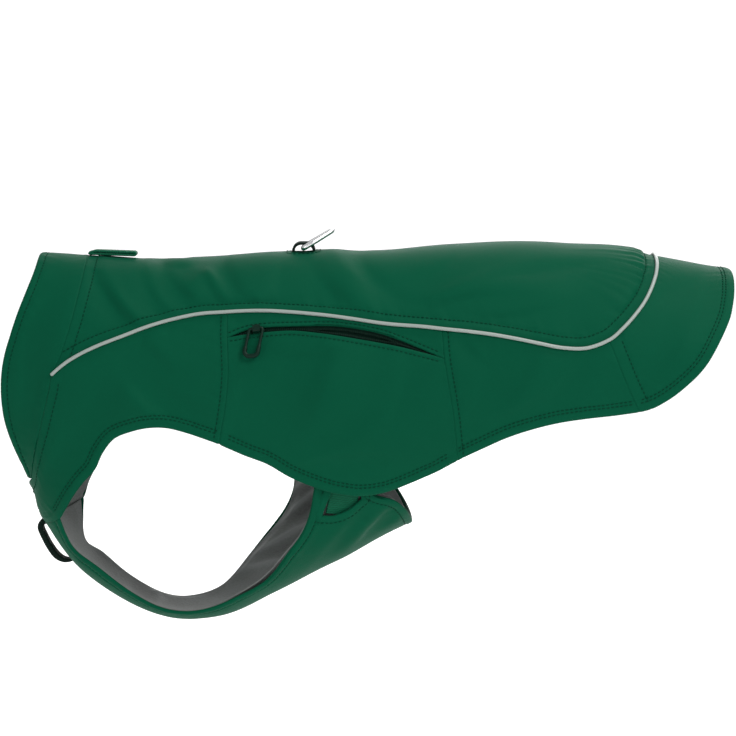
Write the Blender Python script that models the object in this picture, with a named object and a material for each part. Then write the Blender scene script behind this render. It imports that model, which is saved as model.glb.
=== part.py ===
"""A dog coat with a built-in harness, filled out as if worn by a medium dog facing -X.

+X runs from the neck to the tail, +Z is up, and -Y is the dog's left side. The origin is on the
dog's back, under the middle of the saddle panel, where the wearer carries the coat.

Every cloth piece is cut from one general figure: a row of upright rings, each a rounded loop
between a point of the back line and a point of the underside. A place on the figure is a station
(which ring) and an angle (0 at the back line, pi at the keel, positive on the dog's left).
"""

import math

import bmesh
import bpy
import numpy as np
from mathutils import Matrix, Vector

MM = 0.001

# ---- driving dimensions, in millimetres ----
SHELL_WALL = 2.0        # insulated shell cloth
LINING_WALL = 1.0       # brushed lining cloth
POCKET_WALL = 0.8       # pocket bag cloth
SEAM_GAP = 0.3          # between pieces that are sewn together
LINING_DEPTH = SHELL_WALL + SEAM_GAP
SLEEVE_ROOM = 1.3       # on each side of the belly strap in its sleeve
WING_DEPTH = 4.0        # how far inside the side panels the belly band's wings lie
PIPING_RADIUS = 1.55
PIPING_LIFT = 0.7       # piping above the shell
WEBBING_WIDTH = 20.0
WEBBING_WALL = 1.6
WEBBING_DEPTHS = (2.45, 5.4)        # inside the shell: over the back, and behind the pockets
STRAP_STATION = 6.90
STRAP_END_DEGREES = 126.0
TAPE_WALL = 0.7
TAPE_DEPTH = SHELL_WALL + 0.5
TAPE_HIDDEN, TAPE_SHOWN = 4.0, 2.2
BAG_DEPTH = TAPE_DEPTH + TAPE_WALL + 0.4
PUFF_HEIGHT = 2.2       # the saddle panel stands up in front of its gathered rear seam
GATHER_HEIGHT = 0.7
POCKET_BULGE = 1.8      # the pocket's front stands out this far
RING_WIRE = 1.8         # radius of the leash ring's wire
RING_LENGTH = 24.0      # pivot to apex, on the wire's centre line
RING_HALF_WIDTH = 13.2
RING_LIFT_DEGREES = 31.0
RING_STATION = 5.58
RING_HEIGHT = 2.2       # the ring's bar above the shell
PORTAL_HALF_LENGTH, PORTAL_HALF_WIDTH, PORTAL_CORNER = 9.0, 11.4, 3.0
KEEPER_HALF_LENGTH, KEEPER_TOP, KEEPER_WALL = 8.1, 6.2, 1.8
KEEPER_FOOT = SHELL_WALL + 0.1      # below the shell's outer side
SLIDER_PLACE = 0.14     # share of the slit's length from its front end
SLIDER_LENGTH = 5.0
PIVOT_HEIGHT = 3.2      # the pull's hinge above the shell
PULL_WIDTH, PULL_LENGTH, PULL_WIRE = 9.4, 19.0, 1.1
PULL_LEAN = 0.3         # the pull hangs this much towards the neck for each millimetre down
PULL_TUCK = 0.09        # and this much towards the pocket's face
COLLAR_LOOP_PLACE = (-197.0, -1.2)  # x and z of its lower front corner
COLLAR_LOOP_LENGTH, COLLAR_LOOP_WIDTH, COLLAR_LOOP_HEIGHT, COLLAR_LOOP_STRAP = 36.0, 14.0, 3.6, 1.3
COLLAR_LOOP_SLOPE = 2.0             # degrees
CHEST_LOOP_WIDTH = 12.0
BUCKLE_ANGLES = (78.0, 101.0)       # degrees, the buckle's upper and lower end
BUCKLE_DEPTHS = (5.2, 4.4)          # inside the figure's surface at those ends
BUCKLE_HALF_WIDTH, BUCKLE_THICKNESS = 13.0, 6.4
BUCKLE_MOUTH = 0.62                 # share of the buckle's length that is its socket
TONGUE_HALF_WIDTH, TONGUE_LENGTH = 5.2, 9.0

# ---- the general figure: one row for each ring ----
# back_x, back_z, keel_x, keel_z, half_width, keel_squareness
FIGURE_RINGS = (
    (-278, -4.0, -262, -138, 44, 2.2),
    (-228, 0.0, -236, -163, 57, 2.3),
    (-190, -2.0, -227, -186, 65, 2.5),
    (-148, -3.5, -199, -222.5, 72, 2.8),
    (-108, -2.0, -151, -251.5, 78, 3.0),
    (-68, 1.0, -108, -254.5, 83, 3.1),
    (-28, 1.5, -64, -237.5, 86, 3.1),
    (12, 2.0, -18, -213, 87, 3.0),
    (55, 6.0, 35, -186.5, 87, 2.8),
    (105, 7.5, 98, -176, 86, 2.6),
    (155, 5.0, 158, -170, 84, 2.5),
    (205, -3.0, 212, -170, 79, 2.4),
    (262, -13.0, 268, -172, 72, 2.3),
)
BACK_SQUARENESS = 2.15

# ---- seam lines in the side view: x, z. The last point of a line that ends on the back line is
# found on it, so its z is only a guide ----
NECK_EDGE = (
    (-236, -154.5), (-243, -137), (-249, -119), (-251.5, -104), (-252, -88), (-250, -71),
    (-245.5, -55), (-240, -38), (-234, -22), (-229.5, -8), (-228, 0),
)
NECK_BASE = ((-236, -163), (-236.2, -160), (-235, -157), (-233, -154.5))
COLLAR_SEAM = ((-233, -154.5), (-229.6, -139), (-224, -116), (-218.2, -92), (-215.5, -80))
COLLAR_YOKE_SEAM = (
    (-215.5, -80), (-211, -70), (-203.5, -46.5), (-198, -23), (-195.5, -8), (-195, -2),
)
PIPING_LINE = (
    (-215.5, -80), (-189, -62.4), (-149, -47.2), (-118, -39.7), (-96, -37.7),
    (-60, -37), (-16, -40.8), (26, -45.5), (50, -47.5),
    (88, -51.8), (130, -59.8), (147, -60.4), (163, -55),
    (174, -46), (183, -36.5), (191, -26), (196.5, -15),
)
SADDLE_END = ((196.5, -15), (199, -7.5), (200, -2.4))
PIPING_MARKS = (0, 4, 8, 12, 16)        # where the panels under the piping begin and end
HEM_LINE = (
    (-213, -181), (-205, -168), (-197, -156), (-187, -145), (-180, -131), (-172, -122),
    (-162, -118), (-144, -114.5), (-127.5, -117), (-111, -122), (-101, -125.5),
    (-70, -138), (-54, -147), (-30, -156.5), (-9, -161), (15, -158), (40, -148), (61, -137),
    (76, -129.5), (100, -119), (132, -110.5), (160, -107), (184, -104),
    (198, -99), (214, -88), (230.5, -71), (245, -45), (250, -30), (252, -20), (252.6, -14.5),
    (252.4, -12.3),
)
HEM_MARKS = (0, 10, 17, 22, 30)
RIGHT_LEG_FRONT = ((-205, -179), (-201.5, -168), (-197, -158.5), (-192, -148.5), (-183.5, -134))
POCKET_FRONT_SEAM = ((-96, -37.7), (-96, -54), (-95, -76), (-96.5, -97), (-101, -125.5))
POCKET_REAR_SEAM = ((50, -47.5), (51.5, -67), (55, -88), (58, -108), (61, -137))
SLIT_UPPER = (
    (-96, -54), (-90, -52.3), (-78, -47.5), (-53, -46), (-26, -45.5), (-9, -47),
    (7, -50), (19, -53.8), (34, -59.6), (45, -64.4), (51.5, -67),
)
SLIT_LOWER = (
    (-96, -54), (-90, -53.1), (-76, -51), (-60, -49.6), (-45, -49.8), (-17, -53.3),
    (0, -56.2), (14, -58.3), (31, -61.8), (44, -65.3), (51.5, -67),
)
TAIL_SEAM = ((163, -55), (171, -75), (176, -87), (184, -104))

# ---- grid counts, shared by neighbouring panels so that their edges run together ----
BASE_STEPS, CHEST_STEPS = 5, 8
COLLAR_SIDE_STEPS, COLLAR_TOP_STEPS, COLLAR_ROWS = 8, 12, 4
PIPING_STEPS = (7, 10, 7, 5)
YOKE_ROWS, FACE_ROWS = 2, 6
SIDE_ROWS = YOKE_ROWS + FACE_ROWS

# ---- the belly band: one row for each line across it. Angles in degrees ----
# left edge station and angle, left lip station and angle, keel station,
# right lip station and angle, right edge station and angle
BELLY_ROWS = (
    (2.60, 141.7, 2.56, 150.0, 2.45, 2.58, 147.0, 2.69, 137.9),
    (2.79, 144.5, 2.79, 151.0, 2.80, 2.83, 155.0, 2.83, 148.5),
    (3.21, 142.4, 3.20, 150.0, 3.18, 3.16, 154.0, 3.16, 147.0),
    (3.70, 145.0, 3.70, 152.0, 3.65, 3.58, 156.5, 3.58, 150.0),
    (4.21, 147.5, 4.20, 154.5, 4.18, 4.15, 158.5, 4.15, 152.3),
    (4.71, 146.5, 4.70, 154.0, 4.70, 4.64, 157.0, 4.62, 150.0),
    (5.29, 143.3, 5.29, 152.0, 5.28, 5.12, 153.0, 5.05, 145.5),
    (5.73, 142.6, 5.74, 151.0, 5.73, 5.48, 146.0, 5.40, 136.0),
    (5.93, 139.0, 5.96, 148.5, 6.03, 5.70, 141.5, 5.62, 130.5),
    (6.11, 131.8, 6.16, 142.0, 6.28, 5.86, 138.5, 5.78, 127.0),
    (6.30, 125.5, 6.36, 136.0, 6.50, 6.02, 134.5, 5.93, 123.0),
    (6.38, 118.5, 6.47, 130.0, 6.68, 6.12, 129.0, 6.02, 117.5),
    (6.41, 107.0, 6.52, 124.5, 6.82, 6.17, 124.5, 6.05, 107.0),
    (6.72, 107.0, 6.58, 122.4, 6.98, 6.50, 122.4, 6.62, 107.0),
    (6.84, 107.0, 6.80, 124.8, 7.18, 6.76, 124.8, 6.80, 107.0),
    (7.00, 107.0, 7.02, 125.2, 7.38, 7.00, 125.2, 7.00, 107.0),
    (7.16, 107.0, 7.19, 123.0, 7.56, 7.20, 123.0, 7.18, 107.0),
    (7.22, 107.0, 7.25, 122.4, 7.74, 7.30, 122.4, 7.26, 107.0),
    (7.28, 107.0, 7.31, 122.0, 7.93, 7.40, 122.0, 7.34, 107.0),
)
CHEST_SEAM_KEEL = 1.95                  # station of the band's front edge at the keel
BELLY_SIDE_STEPS = (2, 6)               # edge to lip, lip to keel
NOTCH_ROWS = (14, 17)                   # the scoop in each wing's top, between these rows
LEFT_FLARE, RIGHT_FLARE = 4.5, 3.0      # how strongly the rear edge sweeps back under the belly

# ---- the chest loop's centre line: keel station, height above the shell, thickness ----
CHEST_LOOP_LINE = (
    (2.07, 0.9, 3.4), (2.055, 3.2, 3.8), (2.12, 6.0, 3.9), (2.28, 7.2, 4.0), (2.45, 8.0, 4.1),
    (2.60, 7.9, 4.1), (2.70, 6.1, 3.2), (2.755, 3.5, 2.3), (2.78, 1.1, 2.0),
)

# ---- the largest folds of the shell ----
# x, z of the middle, length, width, depth (minus is a ridge), degrees
FOLDS = (
    (-130, -20, 60, 16, 1.1, -52),
    (-112, -24, 46, 13, -0.8, -50),
    (-126, -7, 26, 16, 1.0, 8),
    (-100, -16, 50, 14, 0.9, -46),
    (0, -24, 66, 22, 1.2, -38),
    (70, -20, 90, 26, -0.9, 6),
    (60, -36, 80, 18, 0.7, 4),
    (-172, -38, 60, 16, 0.7, -65),
    (-150, -88, 70, 24, 0.8, -60),
    (-205, -128, 60, 18, -0.7, 62),
    (100, -90, 60, 26, 0.6, 78),
)


# ---- curves and the figure ----

def smooth_rows(rows, at):
    """Catmull-Rom curve through the rows, read at row numbers `at`."""
    rows = np.asarray(rows, float)
    last = len(rows) - 1
    at = np.clip(np.asarray(at, float), 0, last)
    first = np.minimum(at.astype(int), last - 1)
    share = (at - first)[..., None]
    padded = np.vstack([2 * rows[0] - rows[1], rows, 2 * rows[-1] - rows[-2]])
    a, b, c, d = (padded[first + k] for k in range(4))
    return 0.5 * (
        2 * b + (c - a) * share + (2 * a - 5 * b + 4 * c - d) * share**2
        + (3 * b - a - 3 * c + d) * share**3
    )


def smoothstep(low, high, value):
    share = np.clip((np.asarray(value, float) - low) / (high - low), 0, 1)
    return share * share * (3 - 2 * share)


def ring_shape(angle, keel_squareness):
    """A loop of radius 1, rounder over the back and squarer round the keel: its height and its width."""
    up, out = np.cos(angle), np.sin(angle)
    power = BACK_SQUARENESS + (keel_squareness - BACK_SQUARENESS) * smoothstep(-0.35, 0.55, -up)
    radius = (np.abs(up) ** power + np.abs(out) ** power) ** (-1 / power)
    return radius * up, radius * out


def figure_point(station, angle):
    """Points of the figure's surface, in metres."""
    ring = smooth_rows(FIGURE_RINGS, station)
    up, out = ring_shape(angle, ring[..., 5])
    down = (1 - up) / 2
    x = ring[..., 0] + (ring[..., 2] - ring[..., 0]) * down
    z = ring[..., 1] + (ring[..., 3] - ring[..., 1]) * down
    return np.stack([x, -ring[..., 4] * out, z], -1) * MM


def figure_normal(station, angle):
    """Unit normals that point out of the figure."""
    step = 1e-4
    along = figure_point(station + step, angle) - figure_point(station - step, angle)
    around = figure_point(station, angle + step) - figure_point(station, angle - step)
    normal = np.cross(around, along)
    return normal / np.linalg.norm(normal, axis=-1, keepdims=True)


def place(station, angle, depth):
    """Points at a depth in millimetres inside the figure's surface; a negative depth is outside it."""
    depth = np.asarray(depth, float)[..., None] * MM
    return figure_point(station, angle) - depth * figure_normal(station, angle)


def locate(line):
    """Stations and angles of side-view points (x, z) on the dog's left."""
    line = np.asarray(line, float)
    low = np.zeros(len(line))
    high = np.full(len(line), len(FIGURE_RINGS) - 1.0)
    for _ in range(40):
        middle = (low + high) / 2
        ring = smooth_rows(FIGURE_RINGS, middle)
        down = ring[:, 2:4] - ring[:, 0:2]
        off = line - ring[:, 0:2]
        behind = down[:, 0] * off[:, 1] - down[:, 1] * off[:, 0] > 0
        low, high = np.where(behind, middle, low), np.where(behind, high, middle)
    station = (low + high) / 2
    ring = smooth_rows(FIGURE_RINGS, station)
    down = ring[:, 2:4] - ring[:, 0:2]
    share = np.sum((line - ring[:, 0:2]) * down, axis=1) / np.sum(down * down, axis=1)
    height = np.clip(1 - 2 * share, -1, 1)
    small, large = np.zeros(len(line)), np.full(len(line), math.pi)
    for _ in range(40):
        middle = (small + large) / 2
        above = ring_shape(middle, ring[:, 5])[0] > height
        small, large = np.where(above, middle, small), np.where(above, large, middle)
    return np.stack([station, (small + large) / 2], -1)


def seam(line, first, last, steps, to_crown=False):
    """Evenly spaced places on the smooth line from point `first` to point `last` of a table."""
    places = locate(line)
    if to_crown:
        places[-1, 1] = 0.0
    fine = smooth_rows(places, np.linspace(first, last, 40 * (last - first) + 1))
    points = figure_point(fine[:, 0], fine[:, 1])
    length = np.concatenate([[0], np.cumsum(np.linalg.norm(np.diff(points, axis=0), axis=1))])
    wanted = np.linspace(0, length[-1], steps + 1)
    return np.stack([np.interp(wanted, length, fine[:, k]) for k in (0, 1)], -1)


def chain(*runs):
    """Runs of places end to end, each shared end kept once."""
    return np.vstack([runs[0]] + [run[1:] for run in runs[1:]])


def mirrored(run):
    return run * np.array([1.0, -1.0])


def across(run):
    """A run that ends on the back line, continued over it to the dog's right."""
    return chain(run, mirrored(run[::-1]))


def patch(first, last, near, far):
    """Coons grid between four runs: first and last are its long sides, near and far its ends."""
    u = np.linspace(0, 1, len(first))[:, None, None]
    v = np.linspace(0, 1, len(near))[None, :, None]
    sides = (1 - v) * first[:, None] + v * last[:, None]
    ends = (1 - u) * near[None] + u * far[None]
    corners = (
        (1 - u) * (1 - v) * first[0] + u * (1 - v) * first[-1]
        + (1 - u) * v * last[0] + u * v * last[-1]
    )
    return sides + ends - corners


# ---- building cloth ----

def make_object(name, points, faces, material):
    mesh = bpy.data.meshes.new(name)
    mesh.from_pydata([tuple(p) for p in points], [], faces)
    mesh.update()
    mesh.materials.append(material)
    made = bpy.data.objects.new(name, mesh)
    parts.objects.link(made)
    mesh.shade_smooth()
    mesh.set_sharp_from_angle(angle=math.radians(40))
    return made


def trim_edges(grid, trims):
    """Moves each edge of a grid inwards along the cloth: first row, last row, first and last column."""
    moved = grid.copy()
    edges = ((0, 0, 1), (0, -1, -2), (1, 0, 1), (1, -1, -2))
    for (axis, edge, inner), trim in zip(edges, trims):
        rim = np.take(grid, edge, axis)
        inward = np.take(grid, inner, axis) - rim
        tangent = np.gradient(rim, axis=0)
        tangent /= np.linalg.norm(tangent, axis=-1, keepdims=True)
        inward -= np.sum(inward * tangent, axis=-1, keepdims=True) * tangent
        inward /= np.linalg.norm(inward, axis=-1, keepdims=True)
        if axis == 0:
            moved[edge] += inward * trim * MM
        else:
            moved[:, edge] += inward * trim * MM
    return moved


def wall(name, outer, inner, material, keep=None):
    """A closed wall between two grids of points. keep is a grid of the cells that stay."""
    rows, columns = outer.shape[:2]
    keep = np.ones((rows - 1, columns - 1), bool) if keep is None else keep
    index = np.arange(rows * columns).reshape(rows, columns)
    shift = rows * columns
    faces = []
    sides = {}
    for i, j in np.argwhere(keep):
        a, b, c, d = index[i, j], index[i + 1, j], index[i + 1, j + 1], index[i, j + 1]
        faces.append((a, b, c, d))
        faces.append((a + shift, d + shift, c + shift, b + shift))
        for start, end in ((a, b), (b, c), (c, d), (d, a)):
            if (end, start) in sides:
                del sides[end, start]
            else:
                sides[start, end] = True
    faces += [(end, start, start + shift, end + shift) for start, end in sides]
    points = np.vstack([outer.reshape(-1, 3), inner.reshape(-1, 3)])
    used = sorted({k for face in faces for k in face})
    number = {k: n for n, k in enumerate(used)}
    made = make_object(name, points[used], [tuple(number[k] for k in face) for face in faces], material)
    shell = bmesh.new()
    shell.from_mesh(made.data)
    bmesh.ops.recalc_face_normals(shell, faces=shell.faces)
    shell.to_mesh(made.data)
    shell.free()
    return made


def fold_relief(points):
    """How far each outer point stands up, in millimetres: soft troughs and ridges along the FOLDS."""
    x, z = points[..., 0] / MM, points[..., 2] / MM
    height = np.zeros(x.shape)
    for fold_x, fold_z, length, width, depth, degrees in FOLDS:
        turn = math.radians(degrees)
        along = (x - fold_x) * math.cos(turn) + (z - fold_z) * math.sin(turn)
        over = (z - fold_z) * math.cos(turn) - (x - fold_x) * math.sin(turn)
        height -= depth * np.exp(-((2 * along / length) ** 2) - (2 * over / width) ** 2)
    return height


def edge_fade(points, reach=12.0):
    """0 on a grid's edges, rising to 1 at `reach` millimetres from them."""
    rim = np.vstack([points[0], points[:, -1], points[-1, ::-1], points[::-1, 0]])
    rim = smooth_rows(rim, np.linspace(0, len(rim) - 1, 4 * len(rim)))
    away = np.linalg.norm(points[:, :, None] - rim, axis=-1).min(axis=-1) / MM
    return smoothstep(0.5, reach, away)


def panel(name, places, material, depth=0.0, thickness=SHELL_WALL, trims=None, relief=None, keep=None):
    """A cloth piece on the figure: a grid of places made a wall, its outer points raised by relief."""
    trims = [SEAM_GAP / 2] * 4 if trims is None else trims
    station, angle = places[..., 0], places[..., 1]
    normal = figure_normal(station, angle)
    depth = np.broadcast_to(np.asarray(depth, float), station.shape)
    outer = trim_edges(place(station, angle, depth), trims)
    inner = outer - normal * thickness * MM
    height = fold_relief(outer) if relief is None else relief
    outer = outer + normal * (height * edge_fade(outer) * MM)[..., None]
    return wall(name, outer, inner, material, keep)


def ribbon(name, places, depth, thickness, left, right, material):
    """A flat strip along a run of places, from `left` to `right` millimetres beside it."""
    middle = place(places[:, 0], places[:, 1], depth)
    normal = figure_normal(places[:, 0], places[:, 1])
    tangent = np.gradient(middle, axis=0)
    tangent /= np.linalg.norm(tangent, axis=-1, keepdims=True)
    beside = np.cross(normal, tangent)
    beside /= np.linalg.norm(beside, axis=-1, keepdims=True)
    left, right = (np.broadcast_to(np.asarray(w, float), len(middle))[:, None] * MM for w in (left, right))
    outer = np.stack([middle + beside * left, middle + beside * right], 1)
    inner = outer - normal[:, None] * thickness * MM
    return wall(name, outer, inner, material)


def paint(name, colour, roughness, metallic=0.0):
    material = bpy.data.materials.new(name)
    material.use_nodes = True
    surface = material.node_tree.nodes["Principled BSDF"]
    surface.inputs["Base Color"].default_value = (*colour, 1.0)
    surface.inputs["Roughness"].default_value = roughness
    surface.inputs["Metallic"].default_value = metallic
    return material


def side_name(name, side):
    return name + ("_left" if side > 0 else "_right")


def on_side(run, side):
    return run if side > 0 else mirrored(run)


def start_scene():
    for found in list(bpy.data.objects):
        bpy.data.objects.remove(found)
    collections = []
    for name in ("dog_coat_with_harness", "cutters"):
        collection = bpy.data.collections.new(name)
        bpy.context.scene.collection.children.link(collection)
        collections.append(collection)
    return collections


# ---- the shell ----

def collar():
    neck = seam(NECK_EDGE, 0, len(NECK_EDGE) - 1, COLLAR_SIDE_STEPS + COLLAR_TOP_STEPS, to_crown=True)
    rear = chain(
        seam(COLLAR_SEAM, 0, len(COLLAR_SEAM) - 1, COLLAR_SIDE_STEPS),
        seam(COLLAR_YOKE_SEAM, 0, len(COLLAR_YOKE_SEAM) - 1, COLLAR_TOP_STEPS, to_crown=True),
    )
    tip = np.linspace(neck[0], rear[0], COLLAR_ROWS + 1)
    panel("collar", patch(across(neck), across(rear), tip, mirrored(tip)), shell_cloth)


def piping_run(part):
    return seam(PIPING_LINE, PIPING_MARKS[part], PIPING_MARKS[part + 1], PIPING_STEPS[part])


def saddle_end():
    return seam(SADDLE_END, 0, len(SADDLE_END) - 1, COLLAR_TOP_STEPS, to_crown=True)


def saddle():
    left = chain(*(piping_run(part) for part in range(4)))
    front = across(seam(COLLAR_YOKE_SEAM, 0, len(COLLAR_YOKE_SEAM) - 1, COLLAR_TOP_STEPS, to_crown=True))
    places = patch(left, mirrored(left), front, across(saddle_end()))
    # the rear third puffs up, and every second column stands up there as a gather
    points = figure_point(places[..., 0], places[..., 1])
    x = points[..., 0] / MM
    rear = smoothstep(135, 178, x)
    gathered = smoothstep(150, 176, x) * (1 - smoothstep(188, 199, x))
    ridge = np.where(np.arange(places.shape[1]) % 2 == 0, 1.0, -1.0)[None, :]
    relief = fold_relief(points) + PUFF_HEIGHT * rear + GATHER_HEIGHT * gathered * ridge
    made = panel("back_saddle", places, shell_cloth, relief=relief)
    cut_leash_portal(made)


def cut_leash_portal(made):
    """The rounded slot in the saddle that the ring's keeper comes up through."""
    length, width = PORTAL_HALF_LENGTH, PORTAL_HALF_WIDTH
    outline = rounded_outline(
        ((-length, -width), (length, -width), (length, width), (-length, width)), (PORTAL_CORNER,) * 4, 4,
    )
    curve = flat_curve("portal_cutter", [outline], 12.0)
    curve.location = ring_pivot()
    cutter = as_mesh(curve, cutters)
    cutter.display_type = "WIRE"
    cutter.hide_render = True
    cut = made.modifiers.new("leash_portal", "BOOLEAN")
    cut.operation = "DIFFERENCE"
    cut.solver = "EXACT"
    cut.object = cutter


def neck_base():
    """The neck's edge from the keel up to the collar's tip."""
    places = locate(NECK_BASE)
    places[0, 1] = math.pi
    fine = smooth_rows(places, np.linspace(0, len(NECK_BASE) - 1, BASE_STEPS + 1))
    return fine


def leg_line(side):
    """The hem from the chest's corner round the leg opening and on to the tail."""
    return HEM_LINE if side > 0 else RIGHT_LEG_FRONT + HEM_LINE[len(RIGHT_LEG_FRONT):]


def chest_seam(side):
    """From the keel to the corner of the leg opening."""
    corner = locate(leg_line(side)[:1])[0]
    share = np.linspace(0, 1, CHEST_STEPS + 1)
    station = CHEST_SEAM_KEEL + (corner[0] - CHEST_SEAM_KEEL) * share**1.6
    return np.stack([station, math.pi + (corner[1] - math.pi) * share], -1)


def shoulder_places(side):
    """A strip from the middle of the chest up round the neck to the pocket's front seam."""
    front = chain(neck_base(), seam(COLLAR_SEAM, 0, len(COLLAR_SEAM) - 1, COLLAR_SIDE_STEPS), piping_run(0))
    steps = len(front) - 1 - CHEST_STEPS
    legs = chain(chest_seam(side), seam(leg_line(side), HEM_MARKS[0], HEM_MARKS[1], steps))
    middle = np.linspace(front[0], legs[0], SIDE_ROWS + 1)
    return patch(front, legs, middle, pocket_seam(POCKET_FRONT_SEAM))


def pocket_seam(line):
    """A pocket's side seam: its part beside the yoke, then beside the pocket's face."""
    return chain(seam(line, 0, 1, YOKE_ROWS), seam(line, 1, len(line) - 1, FACE_ROWS))


def shrink(places, shares):
    """Moves each edge of a grid of places inwards by a share of its cell: first row, last row, columns."""
    inner = places.copy()
    inner[0] += (places[1] - places[0]) * shares[0]
    inner[-1] += (places[-2] - places[-1]) * shares[1]
    inner[:, 0] += (inner[:, 1] - inner[:, 0]) * shares[2]
    inner[:, -1] += (inner[:, -2] - inner[:, -1]) * shares[3]
    return inner


def shoulders():
    for side in (1, -1):
        places = shoulder_places(side)
        panel(side_name("shoulder", side), on_side(places, side), shell_cloth)
        lining = shrink(places[::2], (0.02, 0.2, 0.2, 0.35))
        panel(
            side_name("shoulder_lining", side), on_side(lining, side), lining_cloth,
            depth=LINING_DEPTH, thickness=LINING_WALL, trims=[0.15, 0, 0, 0], relief=0.0,
        )


def pocket_places():
    top = piping_run(1)
    upper = seam(SLIT_UPPER, 0, len(SLIT_UPPER) - 1, PIPING_STEPS[1])
    lower = seam(SLIT_LOWER, 0, len(SLIT_LOWER) - 1, PIPING_STEPS[1])
    hem = seam(HEM_LINE, HEM_MARKS[1], HEM_MARKS[2], PIPING_STEPS[1])
    front, rear = pocket_seam(POCKET_FRONT_SEAM), pocket_seam(POCKET_REAR_SEAM)
    yoke = patch(top, upper, front[:YOKE_ROWS + 1], rear[:YOKE_ROWS + 1])
    face = patch(lower, hem, front[YOKE_ROWS:], rear[YOKE_ROWS:])
    return yoke, face


def pockets():
    yoke, face = pocket_places()
    # the pocket's face stands out under its open mouth, and lies flat at its other edges
    along = np.linspace(0, 1, face.shape[0])[:, None]
    down = np.linspace(0, 1, face.shape[1])[None, :]
    middle = smoothstep(0.15, 0.5, along) * smoothstep(1, 0.75, along)
    bulge = POCKET_BULGE * middle * np.cos(math.pi / 2 * down)
    # behind the slit, from under the yoke to halfway down the face
    bag = face[1:-1, :4].copy()
    bag[:, 0] += (yoke[1:-1, -2] - bag[:, 0]) * 0.6
    for side in (1, -1):
        panel(side_name("pocket_yoke", side), on_side(yoke, side), shell_cloth, relief=0.0)
        # the whole face stands out, so its inner side follows and its edges do not
        panel(side_name("pocket_face", side), on_side(face, side), shell_cloth, depth=-bulge, relief=0.0)
        panel(
            side_name("pocket_bag", side), on_side(bag, side), pocket_cloth,
            depth=BAG_DEPTH, thickness=POCKET_WALL, trims=[0.5] * 4, relief=0.0,
        )


def rear_sides():
    hem = seam(HEM_LINE, HEM_MARKS[2], HEM_MARKS[3], PIPING_STEPS[2])
    tail = seam(TAIL_SEAM, 0, len(TAIL_SEAM) - 1, SIDE_ROWS)
    places = patch(piping_run(2), hem, pocket_seam(POCKET_REAR_SEAM), tail)
    for side in (1, -1):
        panel(side_name("rear_side", side), on_side(places, side), shell_cloth)


def tail_panel():
    inner = across(chain(piping_run(3), saddle_end()))
    steps = PIPING_STEPS[3] + COLLAR_TOP_STEPS
    hem = across(seam(HEM_LINE, HEM_MARKS[3], HEM_MARKS[4], steps, to_crown=True))
    side_seam = seam(TAIL_SEAM, 0, len(TAIL_SEAM) - 1, SIDE_ROWS)
    panel("tail_panel", patch(inner, hem, side_seam, mirrored(side_seam)), shell_cloth)


def piping():
    """Reflective piping on the saddle's edge, from one shoulder round the rump to the other."""
    run = across(chain(*(piping_run(part) for part in range(4)), saddle_end()[::2]))
    lift = PIPING_LIFT + PIPING_RADIUS
    points = place(run[:, 0], run[:, 1], np.full(len(run), -lift))
    tube("piping", points, PIPING_RADIUS * MM, piping_cloth, 1)


# ---- the belly band ----

def belly_places():
    """Places across the belly band, row by row from the dog's left edge round the keel to its right edge."""
    rows = np.asarray(BELLY_ROWS, float)
    keel = rows[:, 4]
    share = np.linspace(0, 1, len(rows)) ** 3
    sides = []
    left_side = (rows[:, 0:2], rows[:, 2:4], LEFT_FLARE)
    right_side = (rows[:, 7:9], rows[:, 5:7], RIGHT_FLARE)
    for edge, lip, full_flare in (left_side, right_side):
        upper = [edge + (lip - edge) * part for part in np.linspace(0, 1, BELLY_SIDE_STEPS[0] + 1)[:-1]]
        flare = 1 + (full_flare - 1) * share
        lower = []
        for part in np.linspace(0, 1, BELLY_SIDE_STEPS[1] + 1):
            station = lip[:, 0] + (keel - lip[:, 0]) * (1 - (1 - part) ** flare)
            lower.append(np.stack([station, lip[:, 1] + (180 - lip[:, 1]) * part], -1))
        sides.append(np.stack(upper + lower, 1) * [1, math.pi / 180])
    left, right = sides
    right = right[:, -2::-1] * [1, -1] + [0, 2 * math.pi]
    seams = chain(chest_seam(1)[::-1], chest_seam(-1) * [1, -1] + [0, 2 * math.pi])
    return np.concatenate([seams[None], np.concatenate([left, right], 1)])


def belly_depth(places):
    """The band's wings leave the figure's surface behind the legs, to lie inside the side panels."""
    off_keel = np.abs(places[..., 1] - math.pi)
    return WING_DEPTH * smoothstep(4.6, 6.2, places[..., 0]) * smoothstep(0.1, 0.7, off_keel)


def belly_band():
    places = belly_places()
    keep = np.ones((places.shape[0] - 1, places.shape[1] - 1), bool)
    keep[NOTCH_ROWS[0]:NOTCH_ROWS[1], :BELLY_SIDE_STEPS[0]] = False
    keep[NOTCH_ROWS[0]:NOTCH_ROWS[1], -BELLY_SIDE_STEPS[0]:] = False
    panel("belly_shell", places, shell_cloth, depth=belly_depth(places), relief=0.0, keep=keep)
    # the lining lies on the shell's inner side, and in the wings it leaves room for the belly strap
    lining = shrink(places, (0.02, 0.25, 0.5, 0.5))
    sleeve = (WEBBING_WALL + 2 * SLEEVE_ROOM - SEAM_GAP) / WING_DEPTH
    panel(
        "belly_lining", lining, lining_cloth, depth=LINING_DEPTH + belly_depth(lining) * (1 + sleeve),
        thickness=LINING_WALL, trims=[0.15, 0, 0, 0], relief=0.0,
    )


# ---- small pieces ----

def slit_runs(steps):
    upper = seam(SLIT_UPPER, 0, len(SLIT_UPPER) - 1, steps)
    lower = seam(SLIT_LOWER, 0, len(SLIT_LOWER) - 1, steps)
    return upper, lower


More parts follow.
